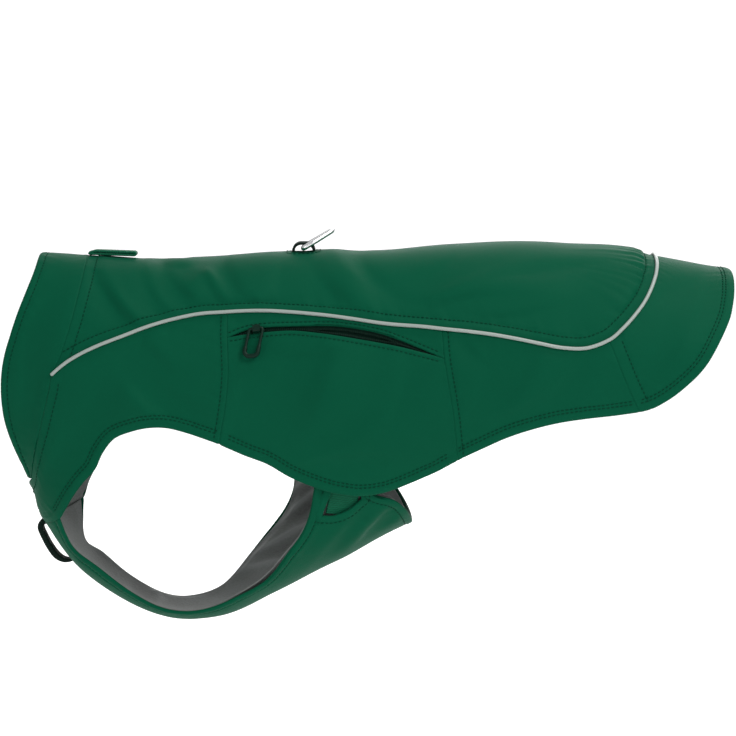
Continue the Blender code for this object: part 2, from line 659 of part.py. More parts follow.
def zip_tapes():
    upper, lower = slit_runs(PIPING_STEPS[1] * 2)
    gape = np.linalg.norm(figure_point(*upper.T) - figure_point(*lower.T), axis=1) / MM
    shown = np.clip(gape / 2 - 0.2, -0.25, TAPE_SHOWN)[1:-1]
    for side in (1, -1):
        for name, run, sign in (("zip_tape_upper", upper, 1), ("zip_tape_lower", lower, -1)):
            strip = on_side(run[1:-1], side)
            depth = np.full(len(strip), TAPE_DEPTH)
            low, high = (-shown, TAPE_HIDDEN) if sign * side > 0 else (-TAPE_HIDDEN, shown)
            ribbon(side_name(name, side), strip, depth, TAPE_WALL, low, high, zip_cloth)


def slider_frame(side):
    """Origin on the slit, and unit vectors along it to the rear, out of the coat, and down the coat."""
    upper, lower = slit_runs(100)
    k = int(SLIDER_PLACE * 100)
    middle = (figure_point(*upper[k]) + figure_point(*lower[k])) / 2
    along = figure_point(*upper[k + 2]) - figure_point(*upper[k - 2])
    out = figure_normal(*upper[k])
    flip = np.array([1.0, side, 1.0])
    middle, along, out = middle * flip, along * flip, out * flip
    along /= np.linalg.norm(along)
    out = out - out.dot(along) * along
    out /= np.linalg.norm(out)
    down = np.cross(out, along) * side
    if down[2] > 0:
        down = -down
    return Vector(middle), Vector(along), Vector(out), Vector(down)


def zips():
    """On each pocket a slider whose bridge holds the pull loop. The loop hangs on the pocket's face."""
    for side in (1, -1):
        origin, along, out, down = slider_frame(side)
        axes = Matrix((along, down - out * PULL_TUCK, out)).transposed()
        base = rounded_outline(((-2.6, 0.4), (2.6, 0.4), (2.6, 5.0), (-2.6, 5.0)), (0.2, 0.2, 1.6, 1.6), 3)
        hole = rounded_outline(((-1.4, 1.9), (1.4, 1.9), (1.4, 4.4), (-1.4, 4.4)), (0.3, 0.3, 0.9, 0.9), 2)
        body = flat_curve(side_name("zip_slider", side), [base, hole], SLIDER_LENGTH)
        # the profile stands across the slit: its x runs down the coat, its y out of it
        turned = Matrix((down, out, along)).transposed()
        if turned.determinant() < 0:
            turned = Matrix((down, out, -along)).transposed()
        body.matrix_world = Matrix.Translation(origin) @ turned.to_4x4()
        as_mesh(body, parts, plastic)
        pivot = origin + out * (PIVOT_HEIGHT * MM)
        drop = PULL_LENGTH * PULL_LEAN
        corners = (
            (-PULL_WIDTH / 2, 0), (PULL_WIDTH / 2, 0),
            (PULL_WIDTH / 2 - drop, PULL_LENGTH), (-PULL_WIDTH / 2 - drop, PULL_LENGTH),
        )
        loop = [
            pivot + (axes @ Vector((x * MM, y * MM, 0.0)))
            for x, y in rounded_outline(corners, (1.6, 1.6, 3.2, 3.2), 4)
        ]
        tube(side_name("zip_pull", side), loop, PULL_WIRE * MM, plastic, 1, closed=True, origin=pivot)


def ring_place():
    """The point of the back line that the leash ring stands over."""
    return figure_point(np.array(RING_STATION), np.array(0.0))


def ring_pivot():
    return Vector(ring_place()) + Vector((0, 0, RING_HEIGHT * MM))


def leash_ring():
    """A V ring of round wire. Its bar turns in the keeper, and it stands up towards the tail."""
    corners = (
        (0.0, -RING_HALF_WIDTH), (7.0, -RING_HALF_WIDTH), (RING_LENGTH, -5.5),
        (RING_LENGTH, 5.5), (7.0, RING_HALF_WIDTH), (0.0, RING_HALF_WIDTH),
    )
    outline = rounded_outline(corners, (2.6, 5.0, 4.6, 4.6, 5.0, 2.6), 4)
    lift = math.radians(RING_LIFT_DEGREES)
    pivot = ring_pivot()
    points = [pivot + Vector((u * math.cos(lift), y, u * math.sin(lift))) * MM for u, y in outline]
    tube("leash_ring", points, RING_WIRE * MM, metal, 2, closed=True, origin=pivot)


def ring_keeper():
    """A webbing arch over the ring's bar. Its feet stand on the girth webbing under the saddle."""
    foot, half, top = -KEEPER_FOOT, KEEPER_HALF_LENGTH, KEEPER_TOP
    inner, roof = half - KEEPER_WALL, top - KEEPER_WALL
    outer_arch = rounded_outline(
        ((-half, foot), (half, foot), (half, top), (-half, top)), (0.2, 0.2, 3.8, 3.8), 5,
    )
    inner_arch = rounded_outline(
        ((-inner, foot), (inner, foot), (inner, roof), (-inner, roof)), (0.2, 0.2, 2.1, 2.1), 5,
    )
    # the arch's outline: up the outside, over, down, and back along the inside
    outside = sorted_arch(outer_arch)
    inside = sorted_arch(inner_arch)
    body = flat_curve("ring_keeper", [outside + inside[::-1]], WEBBING_WIDTH)
    body.matrix_world = Matrix.Translation(Vector(ring_place())) @ Matrix.Rotation(math.radians(90), 4, "X")
    as_mesh(body, parts, dark_webbing)


def sorted_arch(outline):
    """A rounded box's points from its left foot over the top to its right foot."""
    feet = min(y for _, y in outline)
    upper = [p for p in outline if p[1] > feet + 0.5]
    upper.sort(key=lambda p: math.atan2(p[1] - feet, -p[0]))
    left, right = min(x for x, _ in outline), max(x for x, _ in outline)
    return [(left, feet)] + upper + [(right, feet)]


def collar_loop():
    """A flattened webbing loop on the back line, across the collar's seam."""
    length, height, strip = COLLAR_LOOP_LENGTH, COLLAR_LOOP_HEIGHT, COLLAR_LOOP_STRAP
    slope = 2 * height          # the front end rises over this length
    outer = rounded_outline(
        ((0, 0), (length, 0), (length, height), (slope, height), (0, strip)), (0.4, 1.5, 1.5, 3.0, 0.4), 3,
    )
    hole = rounded_outline(
        ((slope, strip), (length - strip, strip), (length - strip, height - strip), (slope, height - strip)),
        (0.3, 0.3, 0.3, 0.3), 2,
    )
    body = flat_curve("collar_loop", [outer, hole], COLLAR_LOOP_WIDTH)
    x, z = COLLAR_LOOP_PLACE
    tilt = Matrix.Rotation(math.radians(COLLAR_LOOP_SLOPE), 4, "Y")
    upright = Matrix.Rotation(math.radians(90), 4, "X")
    body.matrix_world = Matrix.Translation((x * MM, 0, z * MM)) @ tilt @ upright
    as_mesh(body, parts, shell_webbing)


def chest_loop():
    """A stiff webbing loop at the front of the chest, its two ends on the belly band."""
    row = smooth_rows(CHEST_LOOP_LINE, np.linspace(0, len(CHEST_LOOP_LINE) - 1, 22))
    line = place(row[:, 0], np.full(len(row), math.pi), -row[:, 1])[:, ::2] / MM
    tangent = np.gradient(line, axis=0)
    tangent /= np.linalg.norm(tangent, axis=1, keepdims=True)
    beside = np.stack([-tangent[:, 1], tangent[:, 0]], -1) * row[:, 2:3] / 2
    outline = [tuple(p) for p in line + beside] + [tuple(p) for p in (line - beside)[::-1]]
    body = flat_curve("chest_loop", [outline], CHEST_LOOP_WIDTH)
    body.matrix_world = Matrix.Rotation(math.radians(90), 4, "X")
    as_mesh(body, parts, dark_webbing)


# ---- the harness inside ----

def girth_path(first, last, steps):
    """Places on the harness's line from the back down the dog's left side, in degrees round the figure."""
    degrees = np.linspace(first, last, steps + 1)
    share = np.clip(np.abs(degrees) / 62.0, 0, 1)
    station = RING_STATION + (STRAP_STATION - RING_STATION) * share * share * (3 - 2 * share)
    return np.stack([station, np.radians(degrees)], -1)


def webbing_depth(places):
    """Just under the saddle over the back, and inside the pockets on the sides."""
    over, behind = WEBBING_DEPTHS
    return over + (behind - over) * smoothstep(34, 50, np.degrees(np.abs(places[:, 1])))


def harness():
    half = WEBBING_WIDTH / 2
    girth = girth_path(-BUCKLE_ANGLES[0] + 0.5, BUCKLE_ANGLES[0] - 0.5, 34)
    ribbon("girth_webbing", girth, webbing_depth(girth), WEBBING_WALL, -half, half, shell_webbing)
    for side in (1, -1):
        low = girth_path(BUCKLE_ANGLES[1] + 0.6, STRAP_END_DEGREES, 8)
        depth = np.full(len(low), WING_DEPTH + SHELL_WALL + SLEEVE_ROOM)
        low = on_side(low, side)
        ribbon(side_name("belly_strap", side), low, depth, WEBBING_WALL, -half, half, shell_webbing)
        buckle(side)


def buckle(side):
    """A fastened buckle: a socket on the girth webbing, and the belly strap's tongue in its mouth."""
    upper, lower = (math.radians(d) for d in BUCKLE_ANGLES)
    station = np.array([STRAP_STATION, STRAP_STATION])
    ends = place(station, np.array([upper, lower]), np.array(BUCKLE_DEPTHS))
    flip = np.array([1.0, side, 1.0])
    top, bottom = Vector(ends[0] * flip), Vector(ends[1] * flip)
    down = (bottom - top).normalized()
    length = (bottom - top).length / MM
    inward = Vector((0, 1.0 * side, 0))
    inward = (inward - inward.dot(down) * down).normalized()
    wide = down.cross(inward)
    turned = Matrix((wide, down, inward)).transposed()
    place_at = Matrix.Translation(top) @ turned.to_4x4()
    half, thick, mouth, slot = BUCKLE_HALF_WIDTH, BUCKLE_THICKNESS, BUCKLE_MOUTH * length, TONGUE_HALF_WIDTH
    room = slot + 0.4
    socket = rounded_outline(
        ((-half, 0.2), (half, 0.2), (half, mouth), (room, mouth), (room, mouth - TONGUE_LENGTH),
         (-room, mouth - TONGUE_LENGTH), (-room, mouth), (-half, mouth)),
        (3.0, 3.0, 2.4, 0.5, 0.5, 0.5, 0.5, 2.4), 3,
    )
    tip, shoulder, end = mouth - TONGUE_LENGTH + 0.4, mouth + 0.4, length - 0.2
    tongue = rounded_outline(
        ((-slot, tip), (slot, tip), (slot, shoulder), (half, shoulder), (half - 1, end), (-half + 1, end),
         (-half, shoulder), (-slot, shoulder)),
        (2.0, 2.0, 0.4, 1.6, 2.4, 2.4, 1.6, 0.4), 3,
    )
    for name, outline in (("buckle_socket", socket), ("buckle_tongue", tongue)):
        body = flat_curve(side_name(name, side), [outline], thick)
        body.matrix_world = place_at @ Matrix.Translation((0, 0, (0.4 + thick / 2) * MM))
        as_mesh(body, parts, plastic)


# ---- shapes ----

def rounded_outline(corners, radii, steps):
    """A closed outline through the corners, each turned by an arc of its own radius."""
    count = len(corners)
    points = []
    for k, radius in enumerate(radii):
        before, corner, after = (Vector(corners[(k + d) % count]) for d in (-1, 0, 1))
        to_before, to_after = (before - corner).normalized(), (after - corner).normalized()
        half = to_before.angle(to_after) / 2
        reach = radius / math.tan(half)
        centre = corner + (to_before + to_after).normalized() * (radius / math.sin(half))
        first, last = corner + to_before * reach - centre, corner + to_after * reach - centre
        turn = first.angle_signed(last)
        for step in range(steps + 1):
            spoke = first.copy()
            spoke.rotate(Matrix.Rotation(-turn * step / steps, 2))
            points.append(tuple(centre + spoke))
    return points


def flat_curve(name, outlines, thickness):
    """A flat outline in millimetres, with holes, given a thickness in millimetres."""
    data = bpy.data.curves.new(name, "CURVE")
    data.dimensions = "2D"
    data.fill_mode = "BOTH"
    data.extrude = thickness / 2 * MM
    for outline in outlines:
        spline = data.splines.new("POLY")
        spline.points.add(len(outline) - 1)
        for point, (x, y) in zip(spline.points, outline):
            point.co = (x * MM, y * MM, 0, 1)
        spline.use_cyclic_u = True
    made = bpy.data.objects.new(name, data)
    parts.objects.link(made)
    return made


def tube(name, points, radius, material, resolution, closed=False, origin=(0, 0, 0)):
    """Round wire or cord along the points. A piece that moves has its origin on its joint's axis."""
    data = bpy.data.curves.new(name, "CURVE")
    data.dimensions = "3D"
    data.bevel_depth = radius
    data.bevel_resolution = resolution
    data.use_fill_caps = not closed
    spline = data.splines.new("POLY")
    spline.points.add(len(points) - 1)
    for point, at in zip(spline.points, points):
        point.co = (*(Vector(at) - Vector(origin)), 1)
    spline.use_cyclic_u = closed
    made = bpy.data.objects.new(name, data)
    made.location = origin
    data.materials.append(material)
    parts.objects.link(made)
    return made


def as_mesh(curve, collection, material=None):
    """The curve object made a mesh object of the same name and place, its caps welded."""
    bpy.context.view_layer.update()
    evaluated = curve.evaluated_get(bpy.context.evaluated_depsgraph_get())
    mesh = bpy.data.meshes.new_from_object(evaluated)
    solid = bmesh.new()
    solid.from_mesh(mesh)
    bmesh.ops.remove_doubles(solid, verts=solid.verts, dist=0.00001)
    bmesh.ops.recalc_face_normals(solid, faces=solid.faces)
    solid.to_mesh(mesh)
    solid.free()
    name, at = curve.name, curve.matrix_world.copy()
    bpy.data.objects.remove(curve)
    made = bpy.data.objects.new(name, mesh)
    made.matrix_world = at
    mesh.materials.clear()
    if material:
        mesh.materials.append(material)
    collection.objects.link(made)
    mesh.shade_smooth()
    mesh.set_sharp_from_angle(angle=math.radians(40))
    return made


parts, cutters = start_scene()
shell_cloth = paint("shell_cloth", (0.012, 0.085, 0.048), 0.62)
lining_cloth = paint("lining_cloth", (0.075, 0.075, 0.073), 0.95)
pocket_cloth = paint("pocket_cloth", (0.006, 0.03, 0.018), 0.9)
piping_cloth = paint("piping_cloth", (0.5, 0.53, 0.5), 0.45)
shell_webbing = paint("shell_webbing", (0.01, 0.07, 0.04), 0.7)
dark_webbing = paint("dark_webbing", (0.003, 0.008, 0.006), 0.75)
zip_cloth = paint("zip_cloth", (0.004, 0.012, 0.009), 0.7)
plastic = paint("plastic", (0.006, 0.012, 0.01), 0.4)
metal = paint("metal", (0.82, 0.82, 0.82), 0.25, 1.0)

collar()
saddle()
shoulders()
pockets()
rear_sides()
tail_panel()
piping()
belly_band()
zip_tapes()
zips()
leash_ring()
ring_keeper()
collar_loop()
chest_loop()
harness()
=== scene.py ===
import math

import bpy
import numpy as np
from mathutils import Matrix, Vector


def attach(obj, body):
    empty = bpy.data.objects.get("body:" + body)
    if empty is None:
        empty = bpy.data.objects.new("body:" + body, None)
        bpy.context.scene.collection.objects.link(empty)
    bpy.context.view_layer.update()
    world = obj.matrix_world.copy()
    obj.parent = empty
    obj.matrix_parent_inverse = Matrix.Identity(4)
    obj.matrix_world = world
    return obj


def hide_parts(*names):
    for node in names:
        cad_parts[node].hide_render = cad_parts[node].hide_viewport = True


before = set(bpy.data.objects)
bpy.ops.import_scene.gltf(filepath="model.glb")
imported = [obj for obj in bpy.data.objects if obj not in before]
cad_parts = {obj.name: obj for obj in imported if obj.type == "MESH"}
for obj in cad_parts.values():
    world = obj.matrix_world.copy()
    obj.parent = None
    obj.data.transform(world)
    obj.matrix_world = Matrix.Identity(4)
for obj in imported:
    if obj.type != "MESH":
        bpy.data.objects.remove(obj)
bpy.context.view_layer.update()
mm = 0.001


# camera, stage and light

camera = {"target": (0.0, 0.0, -0.0809), "distance": 2.4, "elevation": 5.0, "lens": 167.7}
stage = {
    "floorHeight": -0.42, "depth": 3.2, "height": 3.0, "width": 9.0, "bend": 0.7,
    "colour": (0.9, 0.9, 0.9), "glow": 0.25,
}
lights = [
    {"name": "keyLight", "at": (1.35, -1.7, 1.7), "size": 1.1, "power": 40, "colour": (1.0, 0.99, 0.97)},
    {"name": "fillLight", "at": (-1.7, -2.2, 0.6), "size": 1.8, "power": 11, "colour": (0.97, 0.99, 1.0)},
    {"name": "topLight", "at": (1.0, 0.0, 2.0), "size": 0.9, "power": 29, "colour": (1.0, 1.0, 1.0)},
    {"name": "backLight", "at": (0.4, 2.1, 1.0), "size": 1.6, "power": 22, "colour": (1.0, 1.0, 1.0)},
]


def addCamera():
    target = Vector(camera["target"])
    rise = math.radians(camera["elevation"])
    data = bpy.data.cameras.new("camera")
    data.lens = camera["lens"]
    data.sensor_width = 36
    data.clip_start, data.clip_end = 0.05, 50
    made = bpy.data.objects.new("camera", data)
    made.location = target + Vector((0, -math.cos(rise), math.sin(rise))) * camera["distance"]
    made.rotation_euler = (target - made.location).to_track_quat("-Z", "Y").to_euler()
    bpy.context.scene.collection.objects.link(made)
    bpy.context.scene.camera = made


def addStage():
    # the backdrop is one sheet: flat floor, a quarter circle of radius bend, then straight up
    turn = np.linspace(0, math.pi / 2, 16)
    floor = stage["floorHeight"]
    curve = stage["depth"] - stage["bend"] + stage["bend"] * np.sin(turn)
    y = np.concatenate([[-4.0], curve, [stage["depth"]]])
    z = np.concatenate([[floor], floor + stage["bend"] * (1 - np.cos(turn)), [floor + stage["height"]]])
    half = stage["width"] / 2
    points = [(x, a, b) for a, b in zip(y, z) for x in (-half, half)]
    faces = [(2 * k, 2 * k + 1, 2 * k + 3, 2 * k + 2) for k in range(len(y) - 1)]
    mesh = bpy.data.meshes.new("backdrop")
    mesh.from_pydata(points, [], faces)
    mesh.shade_smooth()
    made = bpy.data.objects.new("backdrop", mesh)
    bpy.context.scene.collection.objects.link(made)
    paper = Finish("backdropPaper", stage["colour"], 0.9)
    paper.surface.inputs["Emission Color"].default_value = (1, 1, 1, 1)
    paper.surface.inputs["Emission Strength"].default_value = stage["glow"]
    made.data.materials.append(paper.material)


def addLights():
    for light in lights:
        data = bpy.data.lights.new(light["name"], "AREA")
        data.size, data.energy, data.color = light["size"], light["power"], light["colour"]
        made = bpy.data.objects.new(light["name"], data)
        made.location = light["at"]
        made.rotation_euler = (Vector(camera["target"]) - made.location).to_track_quat("-Z", "Y").to_euler()
        bpy.context.scene.collection.objects.link(made)
    world = bpy.data.worlds.new("studio")
    world.use_nodes = True
    world.node_tree.nodes["Background"].inputs["Color"].default_value = (1, 1, 1, 1)
    world.node_tree.nodes["Background"].inputs["Strength"].default_value = 0.5
    bpy.context.scene.world = world
    bpy.context.scene.view_settings.view_transform = "Standard"


# materials

class Sock:
    # wraps a socket, so that shader maths reads as plain expressions
    def __init__(self, tree, out):
        self.tree, self.out = tree, out

    def math(self, operation, other):
        node = self.tree.nodes.new("ShaderNodeMath")
        node.operation = operation
        for socket, value in zip(node.inputs, (self, other)):
            putIn(self.tree, socket, value)
        return Sock(self.tree, node.outputs[0])

    def __add__(self, other): return self.math("ADD", other)
    def __sub__(self, other): return self.math("SUBTRACT", other)
    def __mul__(self, other): return self.math("MULTIPLY", other)


def putIn(tree, socket, value):
    if isinstance(value, Sock):
        tree.links.new(value.out, socket)
    elif hasattr(value, "__len__") and len(value) == 3 and len(getattr(socket, "default_value", ())) == 4:
        socket.default_value = (*value, 1.0)
    else:
        socket.default_value = value


class Finish:
    def __init__(self, name, colour, roughness):
        self.material = bpy.data.materials.new(name)
        self.material.use_nodes = True
        self.material.diffuse_color = (*colour, 1.0)
        self.tree = self.material.node_tree
        self.surface = self.tree.nodes["Principled BSDF"]
        self.surface.inputs["Base Color"].default_value = (*colour, 1.0)
        self.surface.inputs["Roughness"].default_value = roughness

    def node(self, kind, settings=(), inputs=(), out=0):
        # a node of a kind: its settings first, then the values or links of its sockets
        made = self.tree.nodes.new(kind)
        for key, value in dict(settings).items():
            setattr(made, key, value)
        for key, value in dict(inputs).items():
            putIn(self.tree, made.inputs[key], value)
        return Sock(self.tree, made.outputs[out])

    def coords(self, which="Object"):
        return self.node("ShaderNodeTexCoord", out=which)

    def noise(self, scale, detail=3.0, at=None, stretch=(1, 1, 1)):
        spot = self.node("ShaderNodeMapping", {}, {"Vector": at or self.coords(), "Scale": stretch})
        return self.node("ShaderNodeTexNoise", {}, {"Vector": spot, "Scale": scale, "Detail": detail})

    def ripple(self, scale, at, direction="X"):
        return self.node(
            "ShaderNodeTexWave", {"bands_direction": direction},
            {"Vector": at, "Scale": scale, "Detail": 1.0}, 1,
        )

    def bump(self, height, strength, distance):
        made = self.node("ShaderNodeBump", {}, {"Height": height, "Strength": strength, "Distance": distance})
        putIn(self.tree, self.surface.inputs["Normal"], made)

    def shade(self, mask, dark, light):
        # base colour runs from dark to light with the mask
        made = self.node(
            "ShaderNodeMix", {"data_type": "RGBA"}, {"Factor": mask, 6: (*dark, 1.0), 7: (*light, 1.0)}, 2,
        )
        putIn(self.tree, self.surface.inputs["Base Color"], made)

    def fixed(self, **values):
        for key, value in values.items():
            self.surface.inputs[key.replace("_", " ")].default_value = value
        return self


def plainFinish(name, colour, roughness, **values):
    return Finish(name, colour, roughness).fixed(**values).material


shellLook = {
    "dark": (0.0008, 0.053, 0.0255), "light": (0.0016, 0.07, 0.035), "roughness": 0.58, "weave": 2600,
}
liningLook = {"dark": (0.095, 0.1, 0.097), "light": (0.24, 0.256, 0.25), "roughness": 0.97}
threadLook = {"colour": (0.0006, 0.033, 0.0165), "roughness": 0.75}
pipingLook = {"dark": (0.2, 0.235, 0.215), "light": (0.29, 0.33, 0.31), "roughness": 0.42}
webbingLook = {
    "dark": (0.0006, 0.06, 0.028), "light": (0.0012, 0.094, 0.046), "roughness": 0.72, "pitch": 1250,
}
darkWebbingLook = {
    "dark": (0.0012, 0.004, 0.003), "light": (0.004, 0.016, 0.011), "roughness": 0.75, "pitch": 1250,
}
zipLook = {"dark": (0.0012, 0.01, 0.006), "light": (0.0025, 0.024, 0.0145), "roughness": 0.75, "pitch": 2000}
plasticLook = {"colour": (0.0009, 0.0135, 0.0078), "roughness": 0.45}
ringLook = {"colour": (0.86, 0.87, 0.88), "roughness": 0.2}


def shellFinish():
    made = Finish("shellCloth", shellLook["light"], shellLook["roughness"])
    made.fixed(**{"Sheen_Weight": 0.026, "Sheen_Roughness": 0.4, "Specular_IOR_Level": 0.025})
    made.surface.inputs["Sheen Tint"].default_value = (0.6, 0.9, 0.78, 1.0)
    broad = made.noise(9.0, 3.0)
    fine = made.noise(900.0, 2.0)
    made.shade(broad * 0.7 + fine * 0.3, shellLook["dark"], shellLook["light"])
    uv = made.coords("UV")
    pitch = shellLook["weave"] / 6.2832
    weave = made.ripple(pitch, uv, "X") + made.ripple(pitch, uv, "Y")
    made.bump(weave * 0.35 + made.noise(260.0, 3.0) * 0.9, 0.32, 0.00022)
    return made.material


def liningFinish():
    made = Finish("brushedLining", liningLook["light"], liningLook["roughness"])
    made.fixed(**{"Sheen_Weight": 0.15, "Sheen_Roughness": 0.6, "Specular_IOR_Level": 0.15})
    pile = made.noise(520.0, 5.0, stretch=(1, 1, 1.7))
    broad = made.noise(34.0, 3.0)
    # random pile and mottling noise, plus a vertex attribute of painted highlight on fold crests and painted
    # shade in the hollows below them
    tone = made.node("ShaderNodeAttribute", {"attribute_name": "tone"}, out="Fac")
    grey = pile * 0.5 + broad * 0.6 + made.noise(9.0, 2.0) * 1.2 - 0.65 + tone
    made.shade(grey, liningLook["dark"], liningLook["light"])
    made.bump(pile + broad * 0.5, 0.7, 0.0008)
    return made.material


def wovenFinish(name, look):
    # ribs across the strip and a fine twill along it, both from the piece's own UV map in metres
    made = Finish(name, look["light"], look["roughness"])
    made.fixed(**{"Specular_IOR_Level": 0.12})
    uv = made.coords("UV")
    ribs = made.ripple(look["pitch"] / 6.2832, uv, "X")
    twill = made.ripple(look["pitch"] * 1.3 / 6.2832, uv, "DIAGONAL")
    cloth = ribs * 0.65 + twill * 0.35
    made.shade(cloth, look["dark"], look["light"])
    made.bump(cloth, 0.6, 0.0003)
    return made.material


def pipingFinish():
    made = Finish("reflectivePiping", pipingLook["light"], pipingLook["roughness"])
    made.fixed(**{"Specular_IOR_Level": 0.6})
    beads = made.noise(1500.0, 2.0)
    made.shade(beads * 0.6 + made.noise(60.0) * 0.4, pipingLook["dark"], pipingLook["light"])
    made.bump(beads + made.ripple(900 / 6.2832, made.coords("UV"), "X") * 0.6, 0.35, 0.0002)
    return made.material


def metalFinish():
    made = Finish("polishedAluminium", ringLook["colour"], ringLook["roughness"])
    made.fixed(Metallic=1.0)
    wear = made.noise(300.0, 4.0)
    putIn(made.tree, made.surface.inputs["Roughness"], wear * 0.18 + (ringLook["roughness"] - 0.06))
    made.bump(wear, 0.12, 0.0001)
    return made.material


def plasticFinish():
    made = Finish("satinPlastic", plasticLook["colour"], plasticLook["roughness"])
    made.fixed(**{"Specular_IOR_Level": 0.12})
    made.bump(made.noise(1400.0, 3.0), 0.2, 0.0001)
    return made.material


# the general figure that every cloth piece lies on

# one row for each upright ring: back x, back z, keel x, keel z, half width, keel squareness
figure = {
    "rings": (
        (-278, -4.0, -262, -138, 44, 2.2), (-228, 0.0, -236, -163, 57, 2.3),
        (-190, -2.0, -227, -186, 65, 2.5), (-148, -3.5, -199, -222.5, 72, 2.8),
        (-108, -2.0, -151, -251.5, 78, 3.0), (-68, 1.0, -108, -254.5, 83, 3.1),
        (-28, 1.5, -64, -237.5, 86, 3.1), (12, 2.0, -18, -213, 87, 3.0),
        (55, 6.0, 35, -186.5, 87, 2.8), (105, 7.5, 98, -176, 86, 2.6), (155, 5.0, 158, -170, 84, 2.5),
        (205, -3.0, 212, -170, 79, 2.4), (262, -13.0, 268, -172, 72, 2.3),
    ),
    "backSquareness": 2.15,
}


def smoothRows(rows, at):
    # Catmull-Rom curve through the rows, read at row numbers
    rows = np.asarray(rows, float)
    last = len(rows) - 1
    at = np.clip(np.asarray(at, float), 0, last)
    first = np.minimum(at.astype(int), last - 1)
    share = (at - first).reshape(at.shape + (1,) * (rows.ndim - 1))
    padded = np.concatenate([2 * rows[:1] - rows[1:2], rows, 2 * rows[-1:] - rows[-2:-1]])
    a, b, c, d = (padded[first + k] for k in range(4))
    return 0.5 * (
        2 * b + (c - a) * share + (2 * a - 5 * b + 4 * c - d) * share**2 + (3 * b - a - 3 * c + d) * share**3
    )


def smoothStep(low, high, value):
    share = np.clip((np.asarray(value, float) - low) / (high - low), 0, 1)
    return share * share * (3 - 2 * share)


def ringShape(angle, keelSquareness):
    # a superellipse of radius 1 whose power grows from the back to the keel: its height and width
    up, out = np.cos(angle), np.sin(angle)
    more = keelSquareness - figure["backSquareness"]
    power = figure["backSquareness"] + more * smoothStep(-0.35, 0.55, -up)
    radius = (np.abs(up) ** power + np.abs(out) ** power) ** (-1 / power)
    return radius * up, radius * out


def figurePoint(station, angle):
    # between a ring's back point and keel point, a share (1 - height) / 2 of the way, and half width out
    ring = smoothRows(figure["rings"], station)
    up, out = ringShape(angle, ring[..., 5])
    down = (1 - up) / 2
    x = ring[..., 0] + (ring[..., 2] - ring[..., 0]) * down
    z = ring[..., 1] + (ring[..., 3] - ring[..., 1]) * down
    return np.stack([x, -ring[..., 4] * out, z], -1) * mm


def unit(vectors):
    return vectors / np.maximum(np.linalg.norm(vectors, axis=-1, keepdims=True), 1e-12)


def figureNormal(station, angle):
    step = 1e-4
    along = figurePoint(station + step, angle) - figurePoint(station - step, angle)
    around = figurePoint(station, angle + step) - figurePoint(station, angle - step)
    return unit(np.cross(around, along))


def place(station, angle, depth):
    inwards = np.asarray(depth, float)[..., None] * mm * figureNormal(station, angle)
    return figurePoint(station, angle) - inwards


def locate(line):
    # stations and angles of side-view points, found by halving
    line = np.asarray(line, float)
    low, high = np.zeros(len(line)), np.full(len(line), len(figure["rings"]) - 1.0)
    for _ in range(40):
        middle = (low + high) / 2
        ring = smoothRows(figure["rings"], middle)
        down, off = ring[:, 2:4] - ring[:, 0:2], line - ring[:, 0:2]
        behind = down[:, 0] * off[:, 1] - down[:, 1] * off[:, 0] > 0
        low, high = np.where(behind, middle, low), np.where(behind, high, middle)
    ring = smoothRows(figure["rings"], low)
    down = ring[:, 2:4] - ring[:, 0:2]
    reach = np.sum((line - ring[:, 0:2]) * down, axis=1) / np.sum(down * down, axis=1)
    height = np.clip(1 - 2 * reach, -1, 1)
    small, large = np.zeros(len(line)), np.full(len(line), math.pi)
    for _ in range(40):
        middle = (small + large) / 2
        above = ringShape(middle, ring[:, 5])[0] > height
        small, large = np.where(above, middle, small), np.where(above, large, middle)
    return np.stack([low, small], -1)


def seam(line, first, last, steps, toCrown=False):
    # evenly spaced places on the smooth line between two points of its table
    places = locate(line)
    if toCrown:
        places[-1, 1] = 0.0
    fine = smoothRows(places, np.linspace(first, last, 40 * (last - first) + 1))
    points = figurePoint(fine[:, 0], fine[:, 1])
    length = np.concatenate([[0], np.cumsum(np.linalg.norm(np.diff(points, axis=0), axis=1))])
    wanted = np.linspace(0, length[-1], steps + 1)
    return np.stack([np.interp(wanted, length, fine[:, k]) for k in (0, 1)], -1)


def chain(*runs):
    return np.vstack([runs[0]] + [run[1:] for run in runs[1:]])


def mirrored(run):
    return run * np.array([1.0, -1.0])


def across(run):
    return chain(run, mirrored(run[::-1]))


def patch(first, last, near, far):
    # Coons surface: the sides' blend plus the ends' blend less the corners' blend
    u = np.linspace(0, 1, len(first))[:, None, None]
    v = np.linspace(0, 1, len(near))[None, :, None]
    corners = (1 - u) * (1 - v) * first[0] + u * (1 - v) * first[-1]
    corners = corners + (1 - u) * v * last[0] + u * v * last[-1]
    return (1 - v) * first[:, None] + v * last[:, None] + (1 - u) * near[None] + u * far[None] - corners


def refined(places, rowFactor, columnFactor):
    # the grid of places, smoothly subdivided both ways
    rows = np.linspace(0, len(places) - 1, (len(places) - 1) * rowFactor + 1)
    columns = np.linspace(0, places.shape[1] - 1, (places.shape[1] - 1) * columnFactor + 1)
    return smoothRows(smoothRows(places, rows).swapaxes(0, 1), columns).swapaxes(0, 1)


# seam lines, in millimetres of the side view: x, z

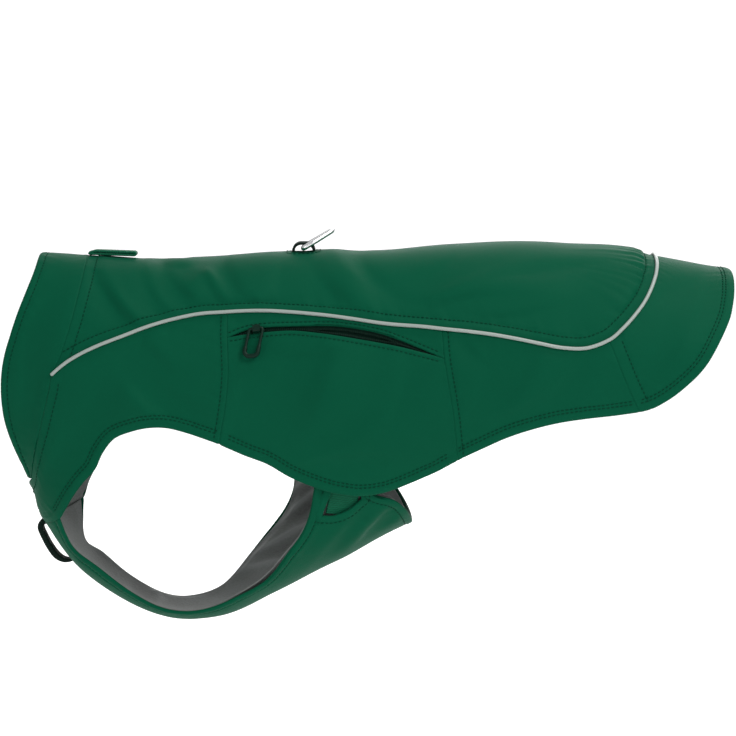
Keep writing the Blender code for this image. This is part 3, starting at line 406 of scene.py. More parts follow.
lines = {
    "neckEdge": (
        (-236, -154.5), (-243, -137), (-249, -119), (-251.5, -104), (-252, -88), (-250, -71),
        (-245.5, -55), (-240, -38), (-234, -22), (-229.5, -8), (-228, 0),
    ),
    "neckBase": ((-236, -163), (-236.2, -160), (-235, -157), (-233, -154.5)),
    "collarSeam": ((-233, -154.5), (-229.6, -139), (-224, -116), (-218.2, -92), (-215.5, -80)),
    "collarYokeSeam": ((-215.5, -80), (-211, -70), (-203.5, -46.5), (-198, -23), (-195.5, -8), (-195, -2)),
    "piping": (
        (-215.5, -80), (-189, -62.4), (-149, -47.2), (-118, -39.7), (-96, -37.7), (-60, -37),
        (-16, -40.8), (26, -45.5), (50, -47.5), (88, -51.8), (130, -59.8), (147, -60.4), (163, -55),
        (174, -46), (183, -36.5), (191, -26), (196.5, -15),
    ),
    "saddleEnd": ((196.5, -15), (199, -7.5), (200, -2.4)),
    "hem": (
        (-213, -181), (-205, -168), (-197, -156), (-187, -145), (-180, -131), (-172, -122),
        (-162, -118), (-144, -114.5), (-127.5, -117), (-111, -122), (-101, -125.5), (-70, -138),
        (-54, -147), (-30, -156.5), (-9, -161), (15, -158), (40, -148), (61, -137), (76, -129.5),
        (100, -119), (132, -110.5), (160, -107), (184, -104), (198, -99), (214, -88), (230.5, -71),
        (245, -45), (250, -30), (252, -20), (252.6, -14.5), (252.4, -12.3),
    ),
    "rightLegFront": ((-205, -179), (-201.5, -168), (-197, -158.5), (-192, -148.5), (-183.5, -134)),
    "pocketFront": ((-96, -37.7), (-96, -54), (-95, -76), (-96.5, -97), (-101, -125.5)),
    "pocketRear": ((50, -47.5), (51.5, -67), (55, -88), (58, -108), (61, -137)),
    "slitUpper": (
        (-96, -54), (-90, -52.3), (-78, -47.5), (-53, -46), (-26, -45.5), (-9, -47),
        (7, -50), (19, -53.8), (34, -59.6), (45, -64.4), (51.5, -67),
    ),
    "slitLower": (
        (-96, -54), (-90, -53.1), (-76, -51), (-60, -49.6), (-45, -49.8), (-17, -53.3),
        (0, -56.2), (14, -58.3), (31, -61.8), (44, -65.3), (51.5, -67),
    ),
    "tailSeam": ((163, -55), (171, -75), (176, -87), (184, -104)),
}
pipingMarks = (0, 4, 8, 12, 16)
pipingSteps = (7, 10, 7, 5)
hemMarks = (0, 10, 17, 22, 30)
steps = {"base": 5, "chest": 8, "side": 8, "top": 12, "collarRows": 4, "yokeRows": 2, "faceRows": 6}


def pipingRun(part):
    return seam(lines["piping"], pipingMarks[part], pipingMarks[part + 1], pipingSteps[part])


def wholeSeam(name, count, toCrown=False):
    return seam(lines[name], 0, len(lines[name]) - 1, count, toCrown)


def pocketSeam(name):
    line = lines[name]
    return chain(seam(line, 0, 1, steps["yokeRows"]), seam(line, 1, len(line) - 1, steps["faceRows"]))


def legLine(side):
    front = lines["rightLegFront"]
    return lines["hem"] if side > 0 else front + lines["hem"][len(front):]


def chestSeam(side):
    corner = locate(legLine(side)[:1])[0]
    share = np.linspace(0, 1, steps["chest"] + 1)
    return np.stack([1.95 + (corner[0] - 1.95) * share**1.6, math.pi + (corner[1] - math.pi) * share], -1)


def collarPlaces():
    neck = wholeSeam("neckEdge", steps["side"] + steps["top"], True)
    rear = chain(wholeSeam("collarSeam", steps["side"]), wholeSeam("collarYokeSeam", steps["top"], True))
    tip = np.linspace(neck[0], rear[0], steps["collarRows"] + 1)
    return patch(across(neck), across(rear), tip, mirrored(tip))


def saddlePlaces():
    left = chain(*(pipingRun(part) for part in range(4)))
    front, end = wholeSeam("collarYokeSeam", steps["top"], True), wholeSeam("saddleEnd", steps["top"], True)
    return patch(left, mirrored(left), across(front), across(end))


def shoulderPlaces(side):
    base = locate(lines["neckBase"])
    base[0, 1] = math.pi
    base = smoothRows(base, np.linspace(0, len(base) - 1, steps["base"] + 1))
    front = chain(base, wholeSeam("collarSeam", steps["side"]), pipingRun(0))
    legs = chain(
        chestSeam(side),
        seam(legLine(side), hemMarks[0], hemMarks[1], len(front) - 1 - steps["chest"]),
    )
    middle = np.linspace(front[0], legs[0], steps["yokeRows"] + steps["faceRows"] + 1)
    return patch(front, legs, middle, pocketSeam("pocketFront"))


def pocketPlaces():
    top, hem = pipingRun(1), seam(lines["hem"], hemMarks[1], hemMarks[2], pipingSteps[1])
    upper, lower = wholeSeam("slitUpper", pipingSteps[1]), wholeSeam("slitLower", pipingSteps[1])
    front, rear = pocketSeam("pocketFront"), pocketSeam("pocketRear")
    rows = steps["yokeRows"]
    return patch(top, upper, front[:rows + 1], rear[:rows + 1]), patch(lower, hem, front[rows:], rear[rows:])


def rearSidePlaces():
    hem = seam(lines["hem"], hemMarks[2], hemMarks[3], pipingSteps[2])
    tail = wholeSeam("tailSeam", steps["yokeRows"] + steps["faceRows"])
    return patch(pipingRun(2), hem, pocketSeam("pocketRear"), tail)


def tailPlaces():
    inner = across(chain(pipingRun(3), wholeSeam("saddleEnd", steps["top"], True)))
    hem = across(seam(lines["hem"], hemMarks[3], hemMarks[4], pipingSteps[3] + steps["top"], True))
    side = wholeSeam("tailSeam", steps["yokeRows"] + steps["faceRows"])
    return patch(inner, hem, side, mirrored(side))


# creases of the shell

# x, z of the middle, length, width, depth (minus is a ridge), degrees, bend: near side, then far side
nearCreases = (
    (-172, -32, 74, 9, 1.3, -47, 0.10), (-160, -40, 60, 13, -0.9, -48, 0.06),
    (-143, -33, 46, 9, 1.1, -50, 0.08), (-128, -24, 52, 10, 1.5, -44, 0.12),
    (-112, -16, 44, 15, -1.2, -34, -0.10), (-104, -27, 44, 9, 1.1, -52, 0.05),
    (-126, -7, 34, 10, 1.3, 10, 0.15), (-94, -18, 40, 12, 0.9, -60, 0.05),
    (-76, -30, 78, 8, 0.9, 3, 0.05), (-60, -18, 40, 18, 0.7, 82, 0.05),
    (-24, -25, 50, 16, 1.0, -40, 0.12), (-4, -18, 64, 20, -1.0, -36, 0.10),
    (16, -22, 60, 15, 1.1, -30, 0.15), (60, -34, 92, 14, 1.5, 14, -0.08),
    (86, -22, 110, 20, -1.5, 12, -0.06), (112, -12, 84, 11, 1.2, 10, -0.05),
    (100, -38, 70, 10, 0.8, 7, 0.08), (40, -12, 60, 12, 0.6, 22, 0.1),
    (-150, -62, 52, 12, 0.7, -52, 0.08), (-170, -76, 46, 15, 0.6, 40, 0.1),
    (-142, -84, 88, 14, 0.9, -44, 0.10), (-150, -100, 70, 13, -0.7, -40, 0.10),
    (-190, -104, 70, 16, 0.8, 66, 0.08), (-214, -140, 50, 12, 0.7, 60, 0.1),
    (-222, -40, 70, 13, 0.8, 68, -0.06), (-234, -84, 60, 12, 0.7, 84, 0.05),
    (-228, -20, 40, 8, 0.6, 30, 0.1), (-80, -74, 66, 17, 1.0, 80, 0.06),
    (-72, -100, 70, 16, 0.9, 48, 0.10), (-30, -92, 90, 26, -1.1, 70, 0.05),
    (-4, -118, 90, 22, -0.9, 32, 0.08), (24, -88, 66, 15, 0.8, 72, 0.05),
    (-46, -66, 60, 9, 0.7, 4, 0.1), (-18, -140, 80, 12, 0.7, 8, -0.08),
    (78, -88, 56, 16, 0.8, 74, 0.08), (112, -80, 60, 18, -0.7, 60, 0.05),
    (132, -88, 50, 13, 0.7, 52, 0.06), (96, -106, 50, 10, 0.6, 22, 0.1),
    (70, -62, 36, 8, 0.6, -50, 0.1), (192, -72, 60, 17, 0.8, 60, 0.08),
    (214, -56, 64, 15, -0.7, 56, 0.06), (226, -36, 56, 13, 0.7, 62, 0.08),
    (210, -22, 40, 10, 0.7, 10, 0.1),
)
farCreases = (
    (-176, -30, 66, 11, 1.2, -52, 0.10), (-158, -38, 56, 14, -0.9, -46, 0.06),
    (-138, -30, 54, 9, 1.1, -44, 0.08), (-118, -20, 48, 12, 1.2, -50, 0.12),
    (-96, -22, 50, 16, -0.9, -38, -0.10), (-70, -30, 84, 9, 0.9, 2, 0.05),
    (-30, -22, 46, 15, 0.9, -46, 0.12), (0, -20, 70, 22, -0.9, -30, 0.10),
    (26, -26, 56, 14, 1.0, -24, 0.15), (70, -30, 96, 16, 1.0, 12, -0.08),
    (94, -20, 100, 18, -1.1, 9, -0.06), (104, -40, 64, 11, 0.8, 10, 0.08),
    (-156, -66, 56, 13, 0.8, -48, 0.08), (-138, -90, 80, 15, 0.9, -50, 0.10),
    (-186, -98, 66, 16, 0.7, 62, 0.08), (-218, -60, 76, 13, 0.8, 74, -0.06),
    (-210, -136, 50, 12, 0.7, 66, 0.1), (-76, -80, 70, 16, 1.0, 76, 0.06),
    (-34, -96, 84, 26, -1.0, 66, 0.05), (-8, -112, 80, 20, -0.8, 40, 0.08),
    (28, -92, 60, 14, 0.8, 78, 0.05), (-52, -66, 56, 9, 0.6, 6, 0.1), (82, -84, 60, 15, 0.8, 70, 0.08),
    (120, -84, 56, 17, -0.7, 54, 0.05), (188, -76, 56, 16, 0.8, 64, 0.08),
    (216, -50, 60, 14, 0.7, 58, 0.06), (206, -20, 36, 10, 0.7, 14, 0.1),
)


# strength of all creases, share of a ridge's height, widths above and below a crease, and the depth
# where troughs level off
crease = {"strength": 2.3, "ridge": 1.25, "above": 0.4, "below": 0.85, "floor": 1.5, "saddleFloor": 2.3}
# the same for the belly band and its lining, with the fall-off above and below each fold
bandFold = {
    "strength": 1.5, "floor": 1.7, "liningFloor": 4.5,
    "above": 3.2, "below": 1.2, "liningAbove": 0.35, "liningBelow": 8.0,
}


def softFloor(relief, limit):
    # troughs level off before they reach the lining
    return np.where(relief < 0, -limit * np.tanh(-relief / limit), relief * crease["ridge"])


def creaseRelief(points, limit):
    # each crease is a bent line; its depth falls off along it and, faster on one side, across it
    x, z, side = points[..., 0] / mm, points[..., 2] / mm, -points[..., 1] / mm
    relief = np.zeros(x.shape)
    for rows, sign in ((nearCreases, 1), (farCreases, -1)):
        share = smoothStep(-14, 14, side * sign)
        for middleX, middleZ, length, width, depth, degrees, bend in rows:
            turn = math.radians(degrees)
            along = ((x - middleX) * math.cos(turn) + (z - middleZ) * math.sin(turn)) * 2 / length
            over = (z - middleZ) * math.cos(turn) - (x - middleX) * math.sin(turn)
            over = over - bend * length * (along**2 - 0.4)
            over = over / np.where(over > 0, width * crease["above"], width * crease["below"])
            relief -= share * depth * np.exp(-along**2 * 1.2 - over**2)
    return softFloor(relief * crease["strength"], limit)


def softWaves(points, seed, size, height):
    # a sum of slow sine waves in seeded directions: the loose unevenness of cloth
    dice = np.random.default_rng(seed)
    total = np.zeros(points.shape[:-1])
    for _ in range(7):
        way = unit(dice.normal(size=3))
        stretch = size * dice.uniform(0.6, 1.6)
        total += np.sin(points @ way / mm * 2 * math.pi / stretch + dice.uniform(0, 6.28))
    return total * height / 7


# rims, stitches and walls

def rimField(points, rim):
    # distance from a rim line and arc length at its nearest point, both in millimetres
    flat = points.reshape(-1, 3)
    length = np.concatenate([[0], np.cumsum(np.linalg.norm(np.diff(rim, axis=0), axis=1))])
    nearest = np.argmin(np.sum(rim**2, axis=1)[None] - 2 * flat @ rim.T, axis=1)
    best, arc = np.full(len(flat), 1e9), np.zeros(len(flat))
    for shift in (-1, 0):
        start = np.clip(nearest + shift, 0, len(rim) - 2)
        a, step = rim[start], rim[start + 1] - rim[start]
        share = np.clip(np.sum((flat - a) * step, axis=1) / np.sum(step * step, axis=1), 0, 1)
        away = np.linalg.norm(flat - a - step * share[:, None], axis=1)
        closer = away < best
        best = np.where(closer, away, best)
        arc = np.where(closer, length[start] + share * np.linalg.norm(step, axis=1), arc)
    return best.reshape(points.shape[:-1]) / mm, arc.reshape(points.shape[:-1]) / mm, length[-1] / mm


def lineAt(points, normals, field, arc, total, level, keep=None):
    # the line where a distance field has a level: crossings of the grid's edges, by arc length
    found = []
    for axis in (0, 1):
        before, after = range(field.shape[axis] - 1), range(1, field.shape[axis])
        a, b = np.take(field, before, axis), np.take(field, after, axis)
        share = (level - a) / np.where(np.abs(b - a) < 1e-9, 1e-9, b - a)
        hit = (share >= 0) & (share < 1)
        if keep is not None:
            hit &= np.take(keep, before, axis) & np.take(keep, after, axis)
        for source in (points, normals, arc[..., None]):
            low = np.take(source, before, axis)[hit]
            high = np.take(source, after, axis)[hit]
            found.append(low + (high - low) * share[hit][:, None])
    where, facing, at = (np.vstack([found[k], found[k + 3]]) for k in range(3))
    inside = (at[:, 0] > 0.4) & (at[:, 0] < total - 0.4)
    order = np.argsort(at[inside, 0])
    return where[inside][order], facing[inside][order]


stitch = {"pitch": 3.1, "share": 0.74, "radius": 0.34, "rise": 0.12, "sides": 6}
stitchLines = []


def addStitches(where, facing):
    if len(where) > 8:
        stitchLines.append((where, unit(facing)))


def stitchArrays(where, facing):
    # short rounded dashes laid end to end along a line, their two ends sunk into the cloth
    length = np.concatenate([[0], np.cumsum(np.linalg.norm(np.diff(where, axis=0), axis=1))]) / mm
    jumps = np.concatenate([[False], np.diff(length) > 4.0])
    count = int(length[-1] / stitch["pitch"])
    starts = (np.arange(count) + 0.13) * stitch["pitch"]
    ring = np.array([0.0, 0.18, 0.82, 1.0])
    size = np.array([0.0, 1.0, 1.0, 0.0])
    lift = np.array([-0.35, 0.25, 0.25, -0.35]) * stitch["radius"] + stitch["rise"]
    at = starts[:, None] + ring[None] * stitch["pitch"] * stitch["share"]
    centre = np.stack([np.interp(at, length, where[:, k]) for k in range(3)], -1)
    normal = unit(np.stack([np.interp(at, length, facing[:, k]) for k in range(3)], -1))
    broken = np.interp(at[:, 0], length, jumps.astype(float)) > 0.02
    run = centre[:, -1] - centre[:, 0]
    good = (np.linalg.norm(run, axis=1) > stitch["pitch"] * 0.5 * mm) & ~broken
    centre, normal, run = centre[good], normal[good], unit(run[good])
    side = unit(np.cross(normal, run[:, None]))
    turn = np.arange(stitch["sides"]) * 2 * math.pi / stitch["sides"]
    spoke = side[:, :, None] * np.cos(turn)[:, None] + normal[:, :, None] * np.sin(turn)[:, None] * 0.8
    points = centre[:, :, None] + spoke * (size * stitch["radius"] * mm)[None, :, None, None]
    return points + normal[:, :, None] * (lift * mm)[None, :, None, None]


def tubeFaces(rings, sides, closed=False):
    around = np.arange(sides)
    after = (around + 1) % sides
    low = (np.arange(rings if closed else rings - 1) * sides)[:, None]
    high = ((np.arange(rings if closed else rings - 1) + 1) % rings * sides)[:, None]
    return np.stack([low + around, high + around, high + after, low + after], -1).reshape(-1, 4)


def putMesh(name, points, faces, materials, uv=None, slots=None, tone=None):
    mesh = bpy.data.meshes.new(name)
    faces = np.asarray(faces)
    used, number = np.unique(faces, return_inverse=True)
    faces = number.reshape(faces.shape)
    points = points[used]
    mesh.vertices.add(len(points))
    mesh.vertices.foreach_set("co", points.astype(np.float32).ravel())
    mesh.loops.add(faces.size)
    mesh.loops.foreach_set("vertex_index", faces.astype(np.int32).ravel())
    mesh.polygons.add(len(faces))
    mesh.polygons.foreach_set("loop_start", np.arange(0, faces.size, faces.shape[1], dtype=np.int32))
    mesh.update(calc_edges=True)
    for material in materials:
        mesh.materials.append(material)
    if slots is not None:
        mesh.polygons.foreach_set("material_index", slots.astype(np.int32))
    if uv is not None:
        layer = mesh.uv_layers.new(name="cloth")
        layer.data.foreach_set("uv", uv[used][faces.ravel()].astype(np.float32).ravel())
    # an optional vertex attribute of painted fold highlight and painted shade, read by the lining's material
    if tone is not None:
        mesh.attributes.new("tone", "FLOAT", "POINT").data.foreach_set("value", tone[used].astype(np.float32))
    mesh.shade_smooth()
    mesh.validate()
    made = bpy.data.objects.new(name, mesh)
    bpy.context.scene.collection.objects.link(made)
    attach(made, "coat")
    return made


def turnedOut(points, faces):
    # faces of a closed shape in the order that makes its volume positive
    a, b, c = (points[faces[:, k]] for k in range(3))
    volume = np.sum(np.einsum("ij,ij->i", a, np.cross(b, c)))
    if faces.shape[1] == 4:
        volume += np.sum(np.einsum("ij,ij->i", a, np.cross(c, points[faces[:, 3]])))
    return faces if volume > 0 else faces[:, ::-1]


def clothWall(name, outer, inner, normal, materials, keep=None, innerSlot=None, tone=None, roundness=4):
    # two sheets and a half-round rim between them: rim = middle + half wall (cos turn up + sin turn outwards)
    rows, columns = outer.shape[:2]
    index = np.arange(rows * columns).reshape(rows, columns)
    corners = np.stack([index[:-1, :-1], index[1:, :-1], index[1:, 1:], index[:-1, 1:]], -1)
    cells = np.ones((rows - 1, columns - 1), bool) if keep is None else keep
    quads = corners[cells]
    facing = np.cross(outer[1:, :-1] - outer[:-1, :-1], outer[:-1, 1:] - outer[:-1, :-1])
    if np.sum(facing * normal[:-1, :-1]) < 0:
        quads = quads[:, ::-1]
    flatOuter, flatInner, flatNormal = (a.reshape(-1, 3) for a in (outer, inner, normal))
    starts, ends = quads.ravel(), np.roll(quads, -1, axis=1).ravel()
    total = rows * columns
    free = ~np.isin(starts * total + ends, ends * total + starts)
    starts, ends = starts[free], ends[free]
    outward = np.zeros((total, 3))
    edgeOut = unit(np.cross(flatOuter[ends] - flatOuter[starts], flatNormal[starts]))
    np.add.at(outward, starts, edgeOut)
    np.add.at(outward, ends, edgeOut)
    rim = np.unique(starts)
    outward = unit(outward[rim])
    rank = np.zeros(total, int)
    rank[rim] = np.arange(len(rim))
    half = (flatOuter[rim] - flatInner[rim]) / 2
    middle = (flatOuter[rim] + flatInner[rim]) / 2
    thick = np.linalg.norm(half, axis=1, keepdims=True)
    turns = [math.pi * k / roundness for k in range(1, roundness)]
    rings = [middle + half * math.cos(t) + outward * thick * math.sin(t) for t in turns]
    along = np.arange(len(rim))
    ids = [np.arange(total)[rim]] + [2 * total + k * len(rim) + along for k in range(len(rings))]
    ids.append(rim + total)
    strips = [
        np.stack([
            ids[k][rank[ends]], ids[k][rank[starts]], ids[k + 1][rank[starts]], ids[k + 1][rank[ends]],
        ], -1)
        for k in range(roundness)
    ]
    faces = np.vstack([quads, quads[:, ::-1] + total] + strips)
    inside = np.zeros(len(quads)) if innerSlot is None else innerSlot[cells]
    slots = np.concatenate([np.zeros(len(quads)), inside, np.zeros(len(faces) - 2 * len(quads))])
    points = np.vstack([flatOuter, flatInner] + rings)
    down, over = (np.linalg.norm(np.diff(outer, axis=axis), axis=-1) for axis in (0, 1))
    u = np.concatenate([np.zeros((1, columns)), np.cumsum(down, axis=0)])
    v = np.concatenate([np.zeros((rows, 1)), np.cumsum(over, axis=1)], 1)
    uv = np.stack([u, v], -1).reshape(-1, 2)
    uv = np.vstack([uv, uv] + [uv[rim]] * len(rings))
    # the painted fold highlight and shade, copied to both sheets and the rim
    if tone is not None:
        tone = np.concatenate([tone.ravel(), tone.ravel()] + [tone.ravel()[rim]] * len(rings))
    return putMesh(name, points, faces, materials, uv, slots, tone)


def trimmed(grid, amount, edges=("near", "far", "first", "last")):
    # the edge rows and columns moved inwards along the cloth
    moved = grid.copy()
    for edge in edges:
        axis = 0 if edge in ("near", "far") else 1
        outerRow, innerRow = (0, 2) if edge in ("near", "first") else (-1, -3)
        rim, inward = np.take(grid, outerRow, axis), np.take(grid, innerRow, axis)
        tangent = unit(np.gradient(rim, axis=0))
        inward = inward - rim
        inward = unit(inward - np.sum(inward * tangent, axis=-1, keepdims=True) * tangent)
        if axis == 0:
            moved[outerRow] += inward * amount * mm
        else:
            moved[:, outerRow] += inward * amount * mm
    return moved


def edgeLine(grid, edge):
    # a rim of the grid; "round" runs down the first side, along the far end and back up the last side
    runs = {
        "near": [grid[0]], "far": [grid[-1]], "first": [grid[:, 0]], "last": [grid[:, -1]],
        "round": [grid[:, 0], grid[-1], grid[::-1, -1]],
    }
    return withoutRepeats(np.vstack(runs[edge]))


def withoutRepeats(line):
    return line[np.concatenate([[True], np.linalg.norm(np.diff(line, axis=0), axis=1) > 1e-7])]


def edgeRelief(field, arc, rim, seed):
    # grooves under the stitches, fullness between hem and stitches, and puckers that fade into the panel
    relief = np.zeros(field.shape)
    for level in rim["rows"]:
        relief -= rim.get("groove", 0.42) * np.exp(-(((field - level) / 0.85) ** 2))
    if rim.get("hem"):
        width = max(rim["rows"])
        relief += rim["hem"] * np.sin(np.clip(field / width, 0, 1) * math.pi) ** 0.7
    dice = np.random.default_rng(seed)
    wave = np.zeros(field.shape)
    for pitch in (7.5, 11.0, 17.0):
        pitch = pitch * dice.uniform(0.85, 1.15)
        slow = np.sin(arc / 61.0 + dice.uniform(0, 6.28))
        wave += np.sin((arc + 0.55 * field) * 2 * math.pi / pitch + 1.7 * slow + dice.uniform(0, 6.28))
    last = max(rim["rows"]) if rim["rows"] else 0.0
    off = np.abs(field - last)
    reach = np.exp(-off / np.where(field > last, 6.5, 3.5))
    return relief + rim.get("pucker", 0.11) * wave * reach * smoothStep(0.0, 1.5, field + 0.4)


shellWall = {"thickness": 2.0, "trim": 0.65, "fade": 9.0}
neckHem = {"rows": (4.4,), "hem": 0.3, "groove": 0.45, "pucker": 0.1, "free": True}
bandHem = {"rows": (4.6,), "hem": 0.3, "groove": 0.5, "pucker": 0.1, "free": True}
hem = {"rows": (5.2, 7.3), "hem": 0.35, "groove": 0.4, "pucker": 0.1, "free": True}
seamPlain = {"rows": (), "pucker": 0.07}


def shellPanel(
    name, places, factors, rims, depth=None, extra=None, seed=1, hole=None, troughs=crease["floor"],
):
    rowFactor, columnFactor = factors
    fine = refined(places, rowFactor, columnFactor)
    station, angle = fine[..., 0], fine[..., 1]
    normal = figureNormal(station, angle)
    depth = np.zeros(station.shape) if depth is None else depth(fine)
    base = trimmed(place(station, angle, depth), shellWall["trim"])
    relief = creaseRelief(base, troughs) + softWaves(base, seed, 95.0, 0.8)
    fields = {}
    nearest = np.full(station.shape, 1e9)
    for edge in rims:
        fields[edge] = rimField(base, edgeLine(base, edge))
        nearest = np.minimum(nearest, fields[edge][0])
    relief *= smoothStep(0.0, shellWall["fade"], nearest)
    for number, (edge, rim) in enumerate(rims.items()):
        relief = relief + edgeRelief(*fields[edge][:2], rim, seed * 17 + number)
    if extra is not None:
        relief = relief + extra(base, fields)
    keep = None
    if hole is not None:
        gap, way = hole(base)
        keep = (gap[:-1, :-1] + gap[1:, :-1] + gap[:-1, 1:] + gap[1:, 1:]) > 0
        beside = np.pad(keep, 1, mode="edge")
        some = beside[:-1, :-1] | beside[1:, :-1] | beside[:-1, 1:] | beside[1:, 1:]
        every = beside[:-1, :-1] & beside[1:, :-1] & beside[:-1, 1:] & beside[1:, 1:]
        base = base - way * (gap * (some & ~every) * mm)[..., None]
        relief = relief - 0.4 * np.exp(-(((gap - 2.6) / 0.85) ** 2)) + 0.5 * smoothStep(6, 0, gap)
    outer = base + normal * (relief * mm)[..., None]
    inner = base - normal * (shellWall["thickness"] * mm)
    inner = inner + normal * (np.minimum(relief, 0) * 0.6 * mm)[..., None]
    hemFields = [
        np.where(fields[edge][1] < fields[edge][2] * rim.get("from", 0), 99, fields[edge][0])
        for edge, rim in rims.items() if rim.get("free")
    ]
    innerSlot = np.ones((station.shape[0] - 1, station.shape[1] - 1), int)
    if hemFields:
        innerSlot = np.where(np.minimum.reduce(hemFields)[:-1, :-1] < 6.0, 0, 1)
    made = clothWall(name, outer, inner, normal, [looks["shell"], looks["lining"]], keep, innerSlot)
    facing = unit(np.cross(np.gradient(outer, axis=0), np.gradient(outer, axis=1)))
    facing *= np.sign(np.sum(facing * normal, axis=-1, keepdims=True))
    for edge, rim in rims.items():
        field, arc, total = fields[edge]
        start = rim.get("from", 0)
        for level in rim["rows"]:
            run = total * rim.get("until", 1 - start)
            addStitches(*lineAt(outer, facing, field, arc - total * start, run, level))
    if hole is not None:
        # the turn round the opening stands in for arc length
        turned = np.arctan2(base[..., 1], base[..., 0] - portal["at"] * mm) * 10 + 32
        addStitches(*lineAt(outer, facing, gap, turned, 63.0, 2.6))
    return made


def standFor(node):
    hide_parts(node)


# the shell's panels

saddle = {
    "puff": 2.4,
    # arc millimetres from the rump's middle, width, length, height of each gather
    "gathers": (
        (5, 3.4, 30, 1.0), (13, 3.6, 44, 1.5), (22, 3.2, 36, 1.2), (30, 3.8, 48, 1.7),
        (39.5, 3.4, 40, 1.3), (48, 3.6, 34, 1.5), (56, 3.2, 46, 1.3), (64, 3.8, 52, 1.5),
        (73, 3.4, 44, 1.2), (82, 4.0, 50, 1.3), (91, 4.4, 40, 0.9), (-6, 3.6, 36, 1.2),
        (-14, 3.2, 30, 1.1), (-23, 3.8, 46, 1.5), (-32, 3.4, 38, 1.3), (-40, 3.8, 44, 1.5),
        (-49, 3.4, 42, 1.4), (-58, 3.6, 50, 1.3), (-67, 3.4, 44, 1.5), (-76, 4.2, 50, 1.2),
        (-87, 4.6, 40, 0.9),
    ),
}
# the opening for the leash ring: middle, half length, half width, corner radius
portal = {"at": -44.8, "halfLength": 9.0, "halfWidth": 11.4, "corner": 3.0}


def portalGap(points):
    # distance from the rounded rectangle, minus inside it, and the way out of it
    x, y = points[..., 0] / mm - portal["at"], points[..., 1] / mm
    overX = np.abs(x) - portal["halfLength"] + portal["corner"]
    overY = np.abs(y) - portal["halfWidth"] + portal["corner"]
    outside = np.hypot(np.maximum(overX, 0), np.maximum(overY, 0))
    gap = outside + np.minimum(np.maximum(overX, overY), 0) - portal["corner"]
    atCorner = (overX > 0) & (overY > 0)
    wayX = np.where(atCorner, overX, (overX > overY) * 1.0) * np.sign(x)
    wayY = np.where(atCorner, overY, (overY >= overX) * 1.0) * np.sign(y)
    return gap, unit(np.stack([wayX, wayY, np.zeros(x.shape)], -1))


def saddleExtra(points, fields):
    # the rear third stands up, and each gather is a ridge that starts at the stitches and dies out forwards
    field, arc, total = fields["round"]
    puff = saddle["puff"] * smoothStep(135, 178, points[..., 0] / mm) * smoothStep(2.5, 16, field)
    gathers = -0.7 * smoothStep(6.5, 10.5, field) * np.exp(-np.clip(field - 10, 0, None) / 15.0)
    fromRump = arc - total / 2
    for at, width, length, height in saddle["gathers"]:
        reach = smoothStep(6.5, 10.5, field) * np.exp(-np.clip(field - 10, 0, None) / (length * 0.42))
        gathers += 1.35 * height * reach * np.exp(-(((fromRump - at) / width) ** 2))
    gathers *= smoothStep(105, 150, points[..., 0] / mm)
    return puff + gathers


def bulgeDepth(shape, factors):
    along = np.linspace(0, 1, shape[0] * factors[0] + 1)[:, None]
    down = np.linspace(0, 1, shape[1] * factors[1] + 1)[None, :]
    rise = smoothStep(0.15, 0.5, along) * smoothStep(1, 0.75, along) * np.cos(math.pi / 2 * down)
    return lambda places: -1.8 * rise


def chestShare(side):
    # the share of the shoulder's lower edge that is sewn to the belly band
    parts = [chestSeam(side), seam(legLine(side), hemMarks[0], hemMarks[1], 40)]
    run, leg = (np.linalg.norm(np.diff(figurePoint(*part.T), axis=0), axis=1).sum() for part in parts)
    return run / (run + leg)


def makeShell():
    collarRims = {
        "first": neckHem, "last": {"rows": (), "pucker": 0.1}, "near": seamPlain, "far": seamPlain,
    }
    made = shellPanel("collarCloth", collarPlaces(), (6, 6), collarRims, seed=3)
    standFor("collar")

    saddleRims = {
        "round": {"rows": (7.0,), "groove": 0.75, "pucker": 0.16},
        "near": {"rows": (6.4,), "groove": 0.4, "pucker": 0.12},
    }
    made = shellPanel(
        "saddleCloth", saddlePlaces(), (8, 5), saddleRims,
        extra=saddleExtra, seed=5, hole=portalGap, troughs=crease["saddleFloor"],
    )
    standFor("back_saddle")

    yoke, face = pocketPlaces()
    for side, ending in ((1, "left"), (-1, "right")):
        flip = np.array([1.0, side])
        rims = {
            "first": {"rows": (5.8,), "groove": 0.0, "pucker": 0.1, "until": 0.49},
            "last": {**hem, "from": chestShare(side)},
            "far": {"rows": (3.4,), "groove": 0.45, "pucker": 0.12},
        }
        made = shellPanel(
            "shoulderCloth_" + ending, shoulderPlaces(side) * flip, (7, 10), rims, seed=7 + side,
        )
        standFor("shoulder_" + ending)

        mouth = {"rows": (2.0,), "groove": 0.35, "pucker": 0.05}
        rims = {"first": seamPlain, "last": mouth, "near": seamPlain, "far": seamPlain}
        made = shellPanel("yokeCloth_" + ending, yoke * flip, (10, 6), rims, seed=11 + side)
        standFor("pocket_yoke_" + ending)

        mouth = {"rows": (2.2,), "groove": 0.35, "pucker": 0.1}
        rims = {"first": mouth, "last": hem, "near": seamPlain, "far": seamPlain}
        factors = (10, 9)
        made = shellPanel(
            "pocketCloth_" + ending, face * flip, factors, rims,
            depth=bulgeDepth((face.shape[0] - 1, face.shape[1] - 1), factors), seed=15 + side,
        )
        standFor("pocket_face_" + ending)

        rims = {
            "first": seamPlain, "last": hem, "far": seamPlain,
            "near": {"rows": (3.4,), "groove": 0.45, "pucker": 0.12},
        }
        made = shellPanel("rearSideCloth_" + ending, rearSidePlaces() * flip, (9, 6), rims, seed=19 + side)
        standFor("rear_side_" + ending)

    rims = {
        "first": seamPlain, "last": hem,
        "near": {"rows": (7.6,), "groove": 0.4, "pucker": 0.12},
        "far": {"rows": (7.6,), "groove": 0.4, "pucker": 0.12},
    }
    made = shellPanel("tailCloth", tailPlaces(), (7, 7), rims, seed=23)
    standFor("tail_panel")
    print("shell panels made")


# the belly band

